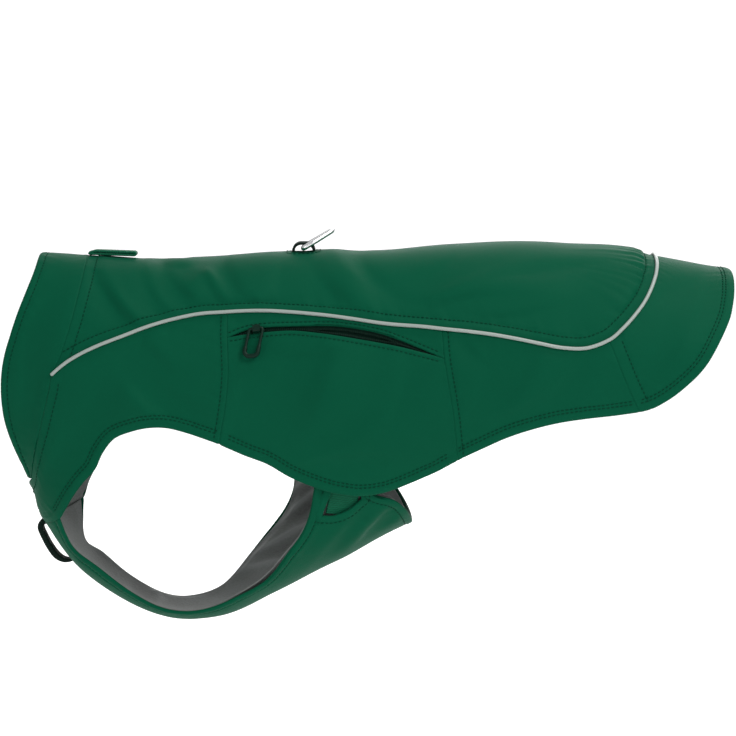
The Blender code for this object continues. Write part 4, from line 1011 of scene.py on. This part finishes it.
# one row for each line across the band: left edge's station and angle, left lip's, the keel's station,
# right lip's, right edge's
band = {
    "rows": (
        (2.60, 141.7, 2.56, 150.0, 2.45, 2.58, 147.0, 2.69, 137.9),
        (2.79, 144.5, 2.79, 151.0, 2.80, 2.83, 155.0, 2.83, 148.5),
        (3.21, 142.4, 3.20, 150.0, 3.18, 3.16, 154.0, 3.16, 147.0),
        (3.70, 145.0, 3.70, 152.0, 3.65, 3.58, 156.5, 3.58, 150.0),
        (4.21, 147.5, 4.20, 154.5, 4.18, 4.15, 158.5, 4.15, 152.3),
        (4.71, 146.5, 4.70, 154.0, 4.70, 4.64, 157.0, 4.62, 150.0),
        (5.29, 143.3, 5.29, 152.0, 5.28, 5.12, 153.0, 5.05, 145.5),
        (5.73, 142.6, 5.74, 151.0, 5.73, 5.48, 146.0, 5.40, 136.0),
        (5.93, 139.0, 5.96, 148.5, 6.03, 5.70, 141.5, 5.62, 130.5),
        (6.11, 131.8, 6.16, 142.0, 6.28, 5.86, 138.5, 5.78, 127.0),
        (6.30, 125.5, 6.36, 136.0, 6.50, 6.02, 134.5, 5.93, 123.0),
        (6.38, 118.5, 6.47, 130.0, 6.68, 6.12, 129.0, 6.02, 117.5),
        (6.41, 107.0, 6.52, 124.5, 6.82, 6.17, 124.5, 6.05, 107.0),
        (6.72, 107.0, 6.58, 122.4, 6.98, 6.50, 122.4, 6.62, 107.0),
        (6.84, 107.0, 6.80, 124.8, 7.18, 6.76, 124.8, 6.80, 107.0),
        (7.00, 107.0, 7.02, 125.2, 7.38, 7.00, 125.2, 7.00, 107.0),
        (7.16, 107.0, 7.19, 123.0, 7.56, 7.20, 123.0, 7.18, 107.0),
        (7.22, 107.0, 7.25, 122.4, 7.74, 7.30, 122.4, 7.26, 107.0),
        (7.28, 107.0, 7.31, 122.0, 7.93, 7.40, 122.0, 7.34, 107.0),
    ),
    "sideSteps": (2, 6), "notchRows": (14, 17), "flares": (4.5, 3.0), "wingDepth": 4.0, "factors": (9, 8),
    # x, z of the middle, length, width, depth, degrees: creases of the near wing and its lining
    "creases": (
        (-20, -196, 62, 7, 1.3, 52), (-6, -188, 50, 8, -1.2, 50), (8, -182, 46, 6, 1.1, 47),
        (-40, -204, 50, 8, 1.0, 60), (20, -180, 34, 6, -0.9, 40), (-60, -220, 60, 10, 0.9, 40),
        (-84, -232, 60, 9, -0.8, 24), (-110, -240, 70, 10, 0.9, 12), (-150, -236, 60, 10, 0.8, -20),
        (-180, -218, 50, 9, -0.8, -40), (-200, -200, 40, 8, 0.8, -56), (-30, -180, 30, 6, 0.8, 70),
        (-6, -172, 30, 6, 0.7, -70),
    ),
    "liningCreases": (
        (-48, -185, 62, 5, 3.2, 40), (-56, -208, 52, 5, 3.0, 27), (-44, -166, 40, 5, 2.4, 40),
        (-76, -228, 40, 5, 1.8, 12), (-156, -239, 30, 4, 2.4, -50), (-180, -222, 34, 5, 1.4, -36),
    ),
}


def bandPlaces():
    rows = np.asarray(band["rows"], float)
    keel = rows[:, 4]
    share = np.linspace(0, 1, len(rows)) ** 3
    sides = []
    halves = (
        (rows[:, 0:2], rows[:, 2:4], band["flares"][0]),
        (rows[:, 7:9], rows[:, 5:7], band["flares"][1]),
    )
    for edge, lip, fullFlare in halves:
        upper = [edge + (lip - edge) * part for part in np.linspace(0, 1, band["sideSteps"][0] + 1)[:-1]]
        flare = 1 + (fullFlare - 1) * share
        lower = []
        for part in np.linspace(0, 1, band["sideSteps"][1] + 1):
            station = lip[:, 0] + (keel - lip[:, 0]) * (1 - (1 - part) ** flare)
            lower.append(np.stack([station, lip[:, 1] + (180 - lip[:, 1]) * part], -1))
        sides.append(np.stack(upper + lower, 1) * [1, math.pi / 180])
    left, right = sides
    right = right[:, -2::-1] * [1, -1] + [0, 2 * math.pi]
    seams = chain(chestSeam(1)[::-1], chestSeam(-1) * [1, -1] + [0, 2 * math.pi])
    return np.concatenate([seams[None], np.concatenate([left, right], 1)])


def bandDepth(places):
    aside = smoothStep(0.1, 0.7, np.abs(places[..., 1] - math.pi))
    return band["wingDepth"] * smoothStep(4.6, 6.2, places[..., 0]) * aside


def bandCreases(points, rows, limit, above=bandFold["above"], below=bandFold["below"]):
    x, z = points[..., 0] / mm, points[..., 2] / mm
    relief = np.zeros(x.shape)
    for middleX, middleZ, length, width, depth, degrees in rows:
        turn = math.radians(degrees)
        along = ((x - middleX) * math.cos(turn) + (z - middleZ) * math.sin(turn)) * 2 / length
        over = ((z - middleZ) * math.cos(turn) - (x - middleX) * math.sin(turn)) / width
        relief -= depth * np.exp(-along**2 - over**2 * np.where(over > 0, above, below))
    return softFloor(relief * bandFold["strength"], limit)


def paintedFoldHighlightShade(points, rows):
    # painted light on the lining's folds: a painted highlight along each fold's crest and painted shade in
    # the hollow below it
    x, z = points[..., 0] / mm, points[..., 2] / mm
    tone = np.zeros(x.shape)
    for middleX, middleZ, length, _, depth, degrees in rows:
        turn = math.radians(degrees)
        along = ((x - middleX) * math.cos(turn) + (z - middleZ) * math.sin(turn)) * 2 / length
        over = (z - middleZ) * math.cos(turn) - (x - middleX) * math.sin(turn)
        # the crest mask is a painted highlight and the hollow mask is painted shade
        crestHighlight, hollowShade = np.exp(-(over / 1.5) ** 2), np.exp(-((over + 6) / 4) ** 2)
        tone += depth / 3 * np.exp(-along**4) * (0.75 * crestHighlight - 0.45 * hollowShade)
    return tone


def shrunk(places, shares):
    inner = places.copy()
    inner[0] += (places[1] - places[0]) * shares[0]
    inner[-1] += (places[-2] - places[-1]) * shares[1]
    inner[:, 0] += (inner[:, 1] - inner[:, 0]) * shares[2]
    inner[:, -1] += (inner[:, -2] - inner[:, -1]) * shares[3]
    return inner


def makeBand():
    rowFactor, columnFactor = band["factors"]
    fine = refined(bandPlaces(), rowFactor, columnFactor)
    station, angle = fine[..., 0], fine[..., 1]
    normal = figureNormal(station, angle)
    base = trimmed(place(station, angle, bandDepth(fine)), shellWall["trim"])
    keep = np.ones((fine.shape[0] - 1, fine.shape[1] - 1), bool)
    low, high = (n * rowFactor for n in band["notchRows"])
    width = band["sideSteps"][0] * columnFactor
    keep[low:high, :width] = False
    keep[low:high, -width:] = False
    lip = [
        np.vstack([
            base[:low + 1, 0], base[low, 1:width + 1], base[low:high + 1, width],
            base[high, width::-1], base[high:, 0],
        ]),
        np.vstack([
            base[:low + 1, -1], base[low, -1:-width - 2:-1], base[low:high + 1, -width - 1],
            base[high, -width - 1:], base[high:, -1],
        ]),
        base[-1],
    ]
    nearest = np.full(station.shape, 1e9)
    fields = []
    for line in lip:
        fields.append(rimField(base, withoutRepeats(line)))
        nearest = np.minimum(nearest, fields[-1][0])
    relief = bandCreases(base, band["creases"], bandFold["floor"]) + softWaves(base, 31, 70.0, 0.9)
    relief = relief * smoothStep(0, 9, nearest)
    relief *= smoothStep(0, 8, np.linalg.norm(base - base[:1], axis=-1) / mm)
    for number, field in enumerate(fields):
        relief = relief + edgeRelief(*field[:2], bandHem, 41 + number)
    outer = base + normal * (relief * mm)[..., None]
    inner = base - normal * (shellWall["thickness"] * mm)
    made = clothWall("bandCloth", outer, inner, normal, [looks["shell"], looks["lining"]], keep)
    standFor("belly_shell")
    vertexKeep = np.ones(station.shape, bool)
    vertexKeep[low + 1:high, :width] = False
    vertexKeep[low + 1:high, -width:] = False
    facing = unit(np.cross(np.gradient(outer, axis=0), np.gradient(outer, axis=1)))
    facing *= np.sign(np.sum(facing * normal, axis=-1, keepdims=True))
    for field in fields:
        for level in bandHem["rows"]:
            addStitches(*lineAt(outer, facing, *field, level, vertexKeep))
            addStitches(*lineAt(inner, -normal, *field, level, vertexKeep))

    # the lining lies inside the turned-in hem, 0.3 mm off it, and behind the belly strap's sleeve
    coarse = shrunk(bandPlaces(), (0.02, 0.25, 0.5, 0.5))
    fine = refined(coarse, rowFactor, columnFactor)
    normal = figureNormal(fine[..., 0], fine[..., 1])
    sleeve = (1.6 + 2 * 1.3 - 0.3) / band["wingDepth"]
    base = place(fine[..., 0], fine[..., 1], 2.3 + bandDepth(fine) * (1 + sleeve))
    field = rimField(base, edgeLine(base, "round"))[0]
    relief = bandCreases(base, band["creases"], bandFold["floor"]) + softWaves(base, 33, 40.0, 1.0)
    far = smoothStep(-5, 20, base[..., 1] / mm)
    fall = bandFold["liningAbove"], bandFold["liningBelow"]
    relief += bandCreases(base, band["liningCreases"], bandFold["liningFloor"], *fall) * far
    relief *= smoothStep(0.5, 6, field)
    inner = base - normal * ((1.0 - np.minimum(relief, 0.6)) * mm)[..., None]
    # painted highlight and painted shade along the far lining's folds
    tone = paintedFoldHighlightShade(base, band["liningCreases"]) * far
    made = clothWall("bandLining", base, inner, normal, [looks["lining"]], tone=tone)
    standFor("belly_lining")
    print("belly band made")


# linings, pocket bags and piping

def makeLinings():
    for side, ending in ((1, "left"), (-1, "right")):
        flip = np.array([1.0, side])
        fine = refined(shrunk(shoulderPlaces(side)[::2], (0.02, 0.2, 0.2, 0.35)) * flip, 14, 8)
        normal = figureNormal(fine[..., 0], fine[..., 1])
        base = place(fine[..., 0], fine[..., 1], np.full(fine.shape[:2], 2.3))
        field = rimField(base, base[:, -1])[0]
        relief = softWaves(base, 51 + side, 38.0, 0.9) * smoothStep(0.5, 10, field)
        inner = base - normal * ((1.0 - np.minimum(relief, 0.6)) * mm)[..., None]
        made = clothWall("shoulderFleece_" + ending, base, inner, normal, [looks["lining"]])
        standFor("shoulder_lining_" + ending)

        yoke, face = pocketPlaces()
        bag = face[1:-1, :4].copy()
        bag[:, 0] += (yoke[1:-1, -2] - bag[:, 0]) * 0.6
        fine = refined(bag * flip, 8, 8)
        normal = figureNormal(fine[..., 0], fine[..., 1])
        base = place(fine[..., 0], fine[..., 1], np.full(fine.shape[:2], 3.6))
        relief = softWaves(base, 61 + side, 26.0, 0.7)
        made = clothWall(
            "pocketLining_" + ending, base + normal * (np.minimum(relief, 0.2) * mm)[..., None],
            base - normal * 0.8 * mm, normal, [looks["pocket"]],
        )
        standFor("pocket_bag_" + ending)
    print("linings made")


piping = {"radius": 1.25, "sink": 0.3}


def tubeAlong(name, path, radius, material, sides=12, closed=False, up=None, body="coat"):
    # a round profile carried along the path; up gives the profile's flat direction
    path = np.asarray(path, float)
    tangent = unit(np.roll(path, -1, 0) - np.roll(path, 1, 0)) if closed else unit(np.gradient(path, axis=0))
    up = np.broadcast_to(np.asarray(up if up is not None else (0, 0, 1.0), float), path.shape)
    side = unit(np.cross(tangent, up))
    top = np.cross(side, tangent)
    turn = np.arange(sides) * 2 * math.pi / sides
    radius = np.broadcast_to(np.asarray(radius, float), len(path))[:, None, None]
    spoke = side[:, None] * np.cos(turn)[:, None] + top[:, None] * np.sin(turn)[:, None]
    points = (path[:, None] + spoke * radius).reshape(-1, 3)
    faces = tubeFaces(len(path), sides, closed)
    length = np.concatenate([[0], np.cumsum(np.linalg.norm(np.diff(path, axis=0), axis=1))])
    uv = np.stack(np.broadcast_arrays(length[:, None], (turn * 0.002)[None]), -1).reshape(-1, 2)
    if not closed:
        caps = []
        for end in (0, len(path) - 1):
            step = tangent[end] * (-1 if end == 0 else 1)
            dome = path[end] + spoke[end] * radius[end] * 0.7 + step * radius[end, 0] * 0.45
            tip = path[end] + step * radius[end, 0] * 0.6
            caps.append((dome, tip))
        points = np.vstack([points, caps[0][0], caps[0][1][None], caps[1][0], caps[1][1][None]])
        uv = np.vstack([uv, uv[:sides], uv[:1], uv[-sides:], uv[-1:]])
        base = len(path) * sides
        here, after = np.arange(sides), (np.arange(sides) + 1) % sides
        startDome, startTip = base + here, base + sides
        endDome, endTip = base + sides + 1 + here, base + 2 * sides + 1
        last = (len(path) - 1) * sides
        faces = np.vstack([
            faces,
            np.stack([here, after, base + after, startDome], -1),
            np.stack([last + after, last + here, endDome, base + sides + 1 + after], -1),
            np.stack([startDome, base + after, np.full(sides, startTip), np.full(sides, startTip)], -1),
            np.stack([base + sides + 1 + after, endDome, np.full(sides, endTip), np.full(sides, endTip)], -1),
        ])
    faces = turnedOut(points, faces)
    return putSolid(name, points, faces, [material], uv, body)


def putSolid(name, points, faces, materials, uv=None, body="coat"):
    # like putMesh, for quads of which some have two equal corners: those become triangles
    mesh = bpy.data.meshes.new(name)
    rows = [tuple(dict.fromkeys(face)) for face in np.asarray(faces).tolist()]
    mesh.from_pydata(points.tolist(), [], rows)
    mesh.materials.append(materials[0])
    if uv is not None:
        corner = np.zeros(len(mesh.loops), np.int32)
        mesh.loops.foreach_get("vertex_index", corner)
        mesh.uv_layers.new(name="cloth").data.foreach_set("uv", uv[corner].astype(np.float32).ravel())
    mesh.shade_smooth()
    made = bpy.data.objects.new(name, mesh)
    bpy.context.scene.collection.objects.link(made)
    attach(made, body)
    return made


def makePiping():
    run = across(chain(
        *(pipingRun(part) for part in range(4)), wholeSeam("saddleEnd", steps["top"], True)[::2],
    ))
    fine = smoothRows(run, np.linspace(0, len(run) - 1, (len(run) - 1) * 6 + 1))
    normal = figureNormal(fine[:, 0], fine[:, 1])
    path = place(fine[:, 0], fine[:, 1], np.full(len(fine), piping["sink"] - piping["radius"]))
    made = tubeAlong("pipingCord", path, piping["radius"] * mm, looks["piping"], 14, up=normal)
    standFor("piping")
    print("piping made")


# zips

zipPart = {"shown": 2.2, "hidden": 4.0, "depth": 2.5, "wall": 0.7, "coilPitch": 1.35, "coilRadius": 0.55}


def makeZips():
    upper, lower = wholeSeam("slitUpper", 120), wholeSeam("slitLower", 120)
    gape = np.linalg.norm(figurePoint(*upper.T) - figurePoint(*lower.T), axis=1) / mm
    shown = np.clip(gape / 2 - 0.2, -0.25, zipPart["shown"])
    for side, ending in ((1, "left"), (-1, "right")):
        flip = np.array([1.0, side])
        coils = []
        for label, run, sign in (("upper", upper, 1), ("lower", lower, -1)):
            places = run[2:-2] * flip
            middle = place(places[:, 0], places[:, 1], np.full(len(places), zipPart["depth"]))
            normal = figureNormal(places[:, 0], places[:, 1])
            tangent = unit(np.gradient(middle, axis=0))
            beside = unit(np.cross(normal, tangent)) * sign * side
            show = shown[2:-2, None] * mm
            edge = middle - beside * show
            back = middle + beside * zipPart["hidden"] * mm
            outer = edge[:, None] + (back - edge)[:, None] * np.linspace(0, 1, 5)[None, :, None]
            facing = np.broadcast_to(normal[:, None], outer.shape)
            inner = outer - facing * zipPart["wall"] * mm
            made = clothWall(f"zipTape_{label}_{ending}", outer, inner, facing, [looks["zip"]])
            standFor(f"zip_tape_{label}_{ending}")
            coils.append((edge, normal, tangent))
        teeth = []
        for edge, normal, tangent in coils:
            length = np.concatenate([[0], np.cumsum(np.linalg.norm(np.diff(edge, axis=0), axis=1))]) / mm
            at = np.arange(2.0, length[-1] - 2.0, zipPart["coilPitch"])
            centre, out, way = (
                np.stack([np.interp(at, length, part[:, k]) for k in range(3)], -1)
                for part in (edge, normal, tangent)
            )
            beside = np.cross(out, way)
            turn = np.arange(6) * math.pi / 3
            ends = np.array([-0.9, -0.5, 0.5, 0.9]) * mm
            size = np.array([0.45, 1.0, 1.0, 0.45]) * zipPart["coilRadius"] * mm
            ring = way[:, None, None] * np.cos(turn)[:, None] + out[:, None, None] * np.sin(turn)[:, None]
            tooth = beside[:, None, None] * ends[:, None, None] + ring * size[:, None, None]
            teeth.append(centre[:, None, None] + tooth + out[:, None, None] * 0.35 * mm)
        teeth = np.vstack(teeth)
        made = manyDashes("zipTeeth_" + ending, teeth, looks["plastic"])
    print("zips made")


def manyDashes(name, grids, material):
    # many small closed shapes of one kind: each has rings of points, and its ends are closed flat
    count, rings, sides = grids.shape[:3]
    one = tubeFaces(rings, sides)
    shift = (np.arange(count) * rings * sides)[:, None, None]
    faces = (one[None] + shift).reshape(-1, 4)
    points = grids.reshape(-1, 3)
    ends = []
    for base, order in ((0, 1), ((rings - 1) * sides, -1)):
        quads = np.array([[0, 1, 2, 3], [0, 3, 4, 5]]) if sides == 6 else np.array([[0, 1, 2, 3]])
        ends.append((quads[:, ::order] + base)[None] + shift)
    faces = np.vstack([faces] + [e.reshape(-1, 4) for e in ends])
    first = turnedOut(points[: rings * sides], np.vstack([one] + [np.asarray(e[0]) for e in ends]))
    if not np.array_equal(first[0], one[0]):
        faces = faces[:, ::-1]
    return putMesh(name, points, faces, [material])


def makeStitches():
    near, far = [], []
    for where, facing in stitchLines:
        dashes = stitchArrays(where, facing)
        middle = dashes.mean(axis=(1, 2))
        near.append(dashes[middle[:, 1] < 0])
        far.append(dashes[middle[:, 1] >= 0])
    for name, group in (("topstitchNear", near), ("topstitchFar", far)):
        made = manyDashes(name, np.vstack(group), looks["thread"])
    print("topstitching made:", sum(len(g) for g in near + far), "stitches")


# hardware and webbing

def roundedOutline(corners, radii, count):
    # a closed outline through the corners, each turned by an arc of its own radius
    corners = np.asarray(corners, float)
    points = []
    for k, radius in enumerate(radii):
        before, corner, after = corners[k - 1], corners[k], corners[(k + 1) % len(corners)]
        toBefore, toAfter = unit(before - corner), unit(after - corner)
        half = math.acos(np.clip(toBefore @ toAfter, -1, 1)) / 2
        centre = corner + unit(toBefore + toAfter) * (radius / math.sin(half))
        reach = radius / math.tan(half)
        first, last = corner + toBefore * reach - centre, corner + toAfter * reach - centre
        start, end = math.atan2(first[1], first[0]), math.atan2(last[1], last[0])
        sweep = (end - start + math.pi) % (2 * math.pi) - math.pi
        turn = start + sweep * np.linspace(0, 1, count + 1)
        points.append(centre + radius * np.stack([np.cos(turn), np.sin(turn)], -1))
    return np.vstack(points)


def spread(points, count, closed=False):
    # the same line with evenly spaced points
    points = np.asarray(points, float)
    if closed:
        points = np.vstack([points, points[:1]])
    length = np.concatenate([[0], np.cumsum(np.linalg.norm(np.diff(points, axis=0), axis=1))])
    wanted = np.linspace(0, length[-1], count + 1)[:-1] if closed else np.linspace(0, length[-1], count)
    return np.stack([np.interp(wanted, length, points[:, k]) for k in range(points.shape[1])], -1)


ring = {"pivot": (-0.0448, 0.0, 0.00362), "length": 24.0, "halfWidth": 13.2, "wire": 1.8, "lift": 31.0}


def makeRing():
    corners = (
        (0.0, -ring["halfWidth"]), (7.0, -ring["halfWidth"]), (ring["length"], -5.5),
        (ring["length"], 5.5), (7.0, ring["halfWidth"]), (0.0, ring["halfWidth"]),
    )
    outline = spread(roundedOutline(corners, (2.6, 5.0, 4.6, 4.6, 5.0, 2.6), 10), 180, True)
    lift = math.radians(ring["lift"])
    path = np.stack([outline[:, 0] * math.cos(lift), outline[:, 1], outline[:, 0] * math.sin(lift)], -1) * mm
    path += np.array(ring["pivot"])
    up = (-math.sin(lift), 0, math.cos(lift))
    made = tubeAlong("leashRing", path, ring["wire"] * mm, looks["ring"], 20, closed=True, up=up, body="ring")
    standFor("leash_ring")
    print("ring made")


def stripAlong(name, path, wide, width, thick, material, closed=False, body="coat"):
    # a flat strip: a rounded box profile, width along wide and thick across it, carried along the path
    path, wide = np.asarray(path, float), unit(np.broadcast_to(np.asarray(wide, float), np.shape(path)))
    tangent = unit(np.roll(path, -1, 0) - np.roll(path, 1, 0)) if closed else unit(np.gradient(path, axis=0))
    wide = unit(wide - np.sum(wide * tangent, axis=-1, keepdims=True) * tangent)
    over = np.cross(tangent, wide)
    thick = np.broadcast_to(np.asarray(thick, float), len(path))[:, None, None] / 2
    turn = np.linspace(-math.pi / 2, math.pi / 2, 5)
    rounded = width / 2 - 0.5 + 0.5 * np.cos(turn)
    level = np.linspace(width / 2 - 1, 1 - width / 2, 9)
    beside = np.concatenate([rounded, level, -rounded, -level])
    up = np.concatenate([np.sin(turn), np.ones(9), -np.sin(turn), -np.ones(9)])
    sides = len(up)
    points = path[:, None] + (wide[:, None] * beside[:, None] + over[:, None] * (up[:, None] * thick)) * mm
    faces = tubeFaces(len(path), sides, closed)
    length = np.concatenate([[0], np.cumsum(np.linalg.norm(np.diff(path, axis=0), axis=1))])
    uv = np.stack(np.broadcast_arrays(length[:, None], beside[None] * mm), -1).reshape(-1, 2)
    points = points.reshape(-1, 3)
    if not closed:
        here, after = np.arange(sides), (np.arange(sides) + 1) % sides
        ends = np.vstack([path[:1], path[-1:]])
        last = (len(path) - 1) * sides
        middle = np.full(sides, len(points))
        faces = np.vstack([
            faces,
            np.stack([after, here, middle, middle], -1),
            np.stack([last + here, last + after, middle + 1, middle + 1], -1),
        ])
        points = np.vstack([points, ends])
        uv = np.vstack([uv, uv[:1], uv[-1:]])
    return putSolid(name, points, turnedOut(points, faces), [material], uv, body)


def upright(points, at, tilt=0.0):
    # side-view points turned by a tilt and put at a place of the back line
    points, turn = np.asarray(points, float), math.radians(tilt)
    x = points[:, 0] * math.cos(turn) + points[:, 1] * math.sin(turn)
    z = points[:, 1] * math.cos(turn) - points[:, 0] * math.sin(turn)
    return np.stack([x, np.zeros(len(x)), z], -1) * mm + np.asarray(at, float) * mm


webbing = {
    "width": 20.0, "thick": 1.6, "depths": (2.45, 5.4), "ringStation": 5.58, "strapStation": 6.9,
    "buckle": (78.0, 101.0), "strapEnd": 126.0, "strapDepth": 7.3,
}
keeper = {"half": 7.2, "top": 5.3, "foot": -2.1, "thick": 1.8, "at": (-44.8, 0, 1.42), "round": 5.4}
collarLoop = {
    "length": 36.0, "width": 14.0, "height": 3.6, "thick": 1.65, "at": (-197.0, 0, -1.2), "tilt": 2.0,
}
# keel station, height above the shell, thickness
chestLoop = {
    "width": 12.0,
    "line": (
        (2.07, 0.9, 3.4), (2.055, 3.2, 3.8), (2.12, 6.0, 3.9), (2.28, 7.2, 4.0), (2.45, 8.0, 4.1),
        (2.60, 7.9, 4.1), (2.70, 6.1, 3.2), (2.755, 3.5, 2.3), (2.78, 1.1, 2.0),
    ),
}


def girthPath(first, last, count):
    degrees = np.linspace(first, last, count + 1)
    share = np.clip(np.abs(degrees) / 62.0, 0, 1)
    ahead = webbing["strapStation"] - webbing["ringStation"]
    station = webbing["ringStation"] + ahead * share * share * (3 - 2 * share)
    return np.stack([station, np.radians(degrees)], -1)


def makeWebbing():
    places = girthPath(-webbing["buckle"][0] + 0.5, webbing["buckle"][0] - 0.5, 160)
    over, behind = webbing["depths"]
    aside = smoothStep(34, 50, np.degrees(np.abs(places[:, 1])))
    depth = over + (behind - over) * aside + webbing["thick"] / 2
    path, normal = place(places[:, 0], places[:, 1], depth), figureNormal(places[:, 0], places[:, 1])
    wide = np.cross(normal, np.gradient(path, axis=0))
    made = stripAlong("girthStrap", path, wide, webbing["width"], webbing["thick"], looks["webbing"])
    standFor("girth_webbing")
    for side, ending in ((1, "left"), (-1, "right")):
        places = girthPath(webbing["buckle"][1] + 0.6, webbing["strapEnd"], 40) * np.array([1.0, side])
        depth = np.full(len(places), webbing["strapDepth"] + webbing["thick"] / 2)
        path = place(places[:, 0], places[:, 1], depth)
        wide = np.cross(figureNormal(places[:, 0], places[:, 1]), np.gradient(path, axis=0))
        made = stripAlong(
            "bellyStrap_" + ending, path, wide, webbing["width"], webbing["thick"], looks["webbing"],
        )
        standFor("belly_strap_" + ending)

    half, top, foot, turn = keeper["half"], keeper["top"], keeper["foot"], keeper["round"]
    corners = (-half, foot - 9), (-half, top), (half, top), (half, foot - 9)
    arch = roundedOutline(corners, (0.1, turn, turn, 0.1), 8)
    arch = spread(arch[arch[:, 1] > foot - 8], 60)
    arch = arch[arch[:, 1] >= foot]
    path = upright(arch, keeper["at"])
    look = looks["darkWebbing"]
    made = stripAlong("ringKeeperStrap", path, (0, 1, 0), webbing["width"], keeper["thick"], look)
    standFor("ring_keeper")

    length, height, thick = collarLoop["length"], collarLoop["height"], collarLoop["thick"]
    low, high = thick / 2, height - thick / 2
    outline = roundedOutline(
        ((low, low), (length - low, low), (length - low, high), (2 * height, high)), (0.35, 1.1, 1.1, 6.0), 8,
    )
    path = upright(spread(outline, 120, True), collarLoop["at"], collarLoop["tilt"])
    look = looks["webbing"]
    made = stripAlong("collarLoopStrap", path, (0, 1, 0), collarLoop["width"], thick, look, closed=True)
    standFor("collar_loop")

    row = smoothRows(chestLoop["line"], np.linspace(0, len(chestLoop["line"]) - 1, 70))
    path = place(row[:, 0], np.full(len(row), math.pi), -row[:, 1])
    made = stripAlong("chestLoopStrap", path, (0, 1, 0), chestLoop["width"], row[:, 2], looks["darkWebbing"])
    standFor("chest_loop")
    print("webbing made")


pull = {
    "width": 9.4, "length": 19.0, "wire": 1.1, "lean": 0.3, "tuck": 0.09, "grip": 1.55,
    "pivot": (-75.81, -71.13, -47.64), "along": (0.9913, -0.0545, 0.12), "out": (-0.1025, -0.8909, 0.4424),
    "down": (0.0828, -0.4509, -0.8887),
}


def makePulls():
    # a cord loop whose lower part is moulded thicker as a grip
    for side, ending in ((1, "left"), (-1, "right")):
        flip = np.array([1.0, side, 1.0])
        pivot, along, out, down = (np.array(pull[key]) * flip for key in ("pivot", "along", "out", "down"))
        half, length = pull["width"] / 2, pull["length"]
        drop = length * pull["lean"]
        outline = roundedOutline(
            ((-half, 0), (half, 0), (half - drop, length), (-half - drop, length)), (1.6, 1.6, 3.2, 3.2), 8,
        )
        flat = spread(outline, 110, True)
        path = pivot * mm + (flat[:, :1] * along + flat[:, 1:] * (down - out * pull["tuck"])) * mm
        radius = pull["wire"] + (pull["grip"] - pull["wire"]) * smoothStep(0.62, 0.7, flat[:, 1] / length)
        made = tubeAlong(
            "zipPull_" + ending, path, radius * mm, looks["plastic"], 14,
            closed=True, up=out, body=ending + "_pull",
        )
        standFor("zip_pull_" + ending)
    print("zip pulls made")


def makePlainNodes():
    # small pieces whose CAD shape is right get their finish only
    finishes = {
        "zip_slider_left": "plastic", "zip_slider_right": "plastic",
        "buckle_socket_left": "plastic", "buckle_socket_right": "plastic",
        "buckle_tongue_left": "plastic", "buckle_tongue_right": "plastic",
    }
    for node, look in finishes.items():
        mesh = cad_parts[node].data
        mesh.materials.clear()
        mesh.materials.append(looks[look])


addCamera()
addStage()
addLights()
looks = {
    "shell": shellFinish(), "lining": liningFinish(), "piping": pipingFinish(), "ring": metalFinish(),
    "webbing": wovenFinish("shellWebbing", webbingLook),
    "darkWebbing": wovenFinish("darkWebbing", darkWebbingLook),
    "zip": wovenFinish("zipTape", zipLook), "pocket": wovenFinish("pocketLining", zipLook),
    "plastic": plasticFinish(),
    "thread": plainFinish(
        "sewingThread", threadLook["colour"], threadLook["roughness"], Specular_IOR_Level=0.05,
    ),
}
print("camera, stage and finishes made")
makeShell()
makeBand()
makeLinings()
makePiping()
makeZips()
makeStitches()
makeRing()
makeWebbing()
makePulls()
makePlainNodes()
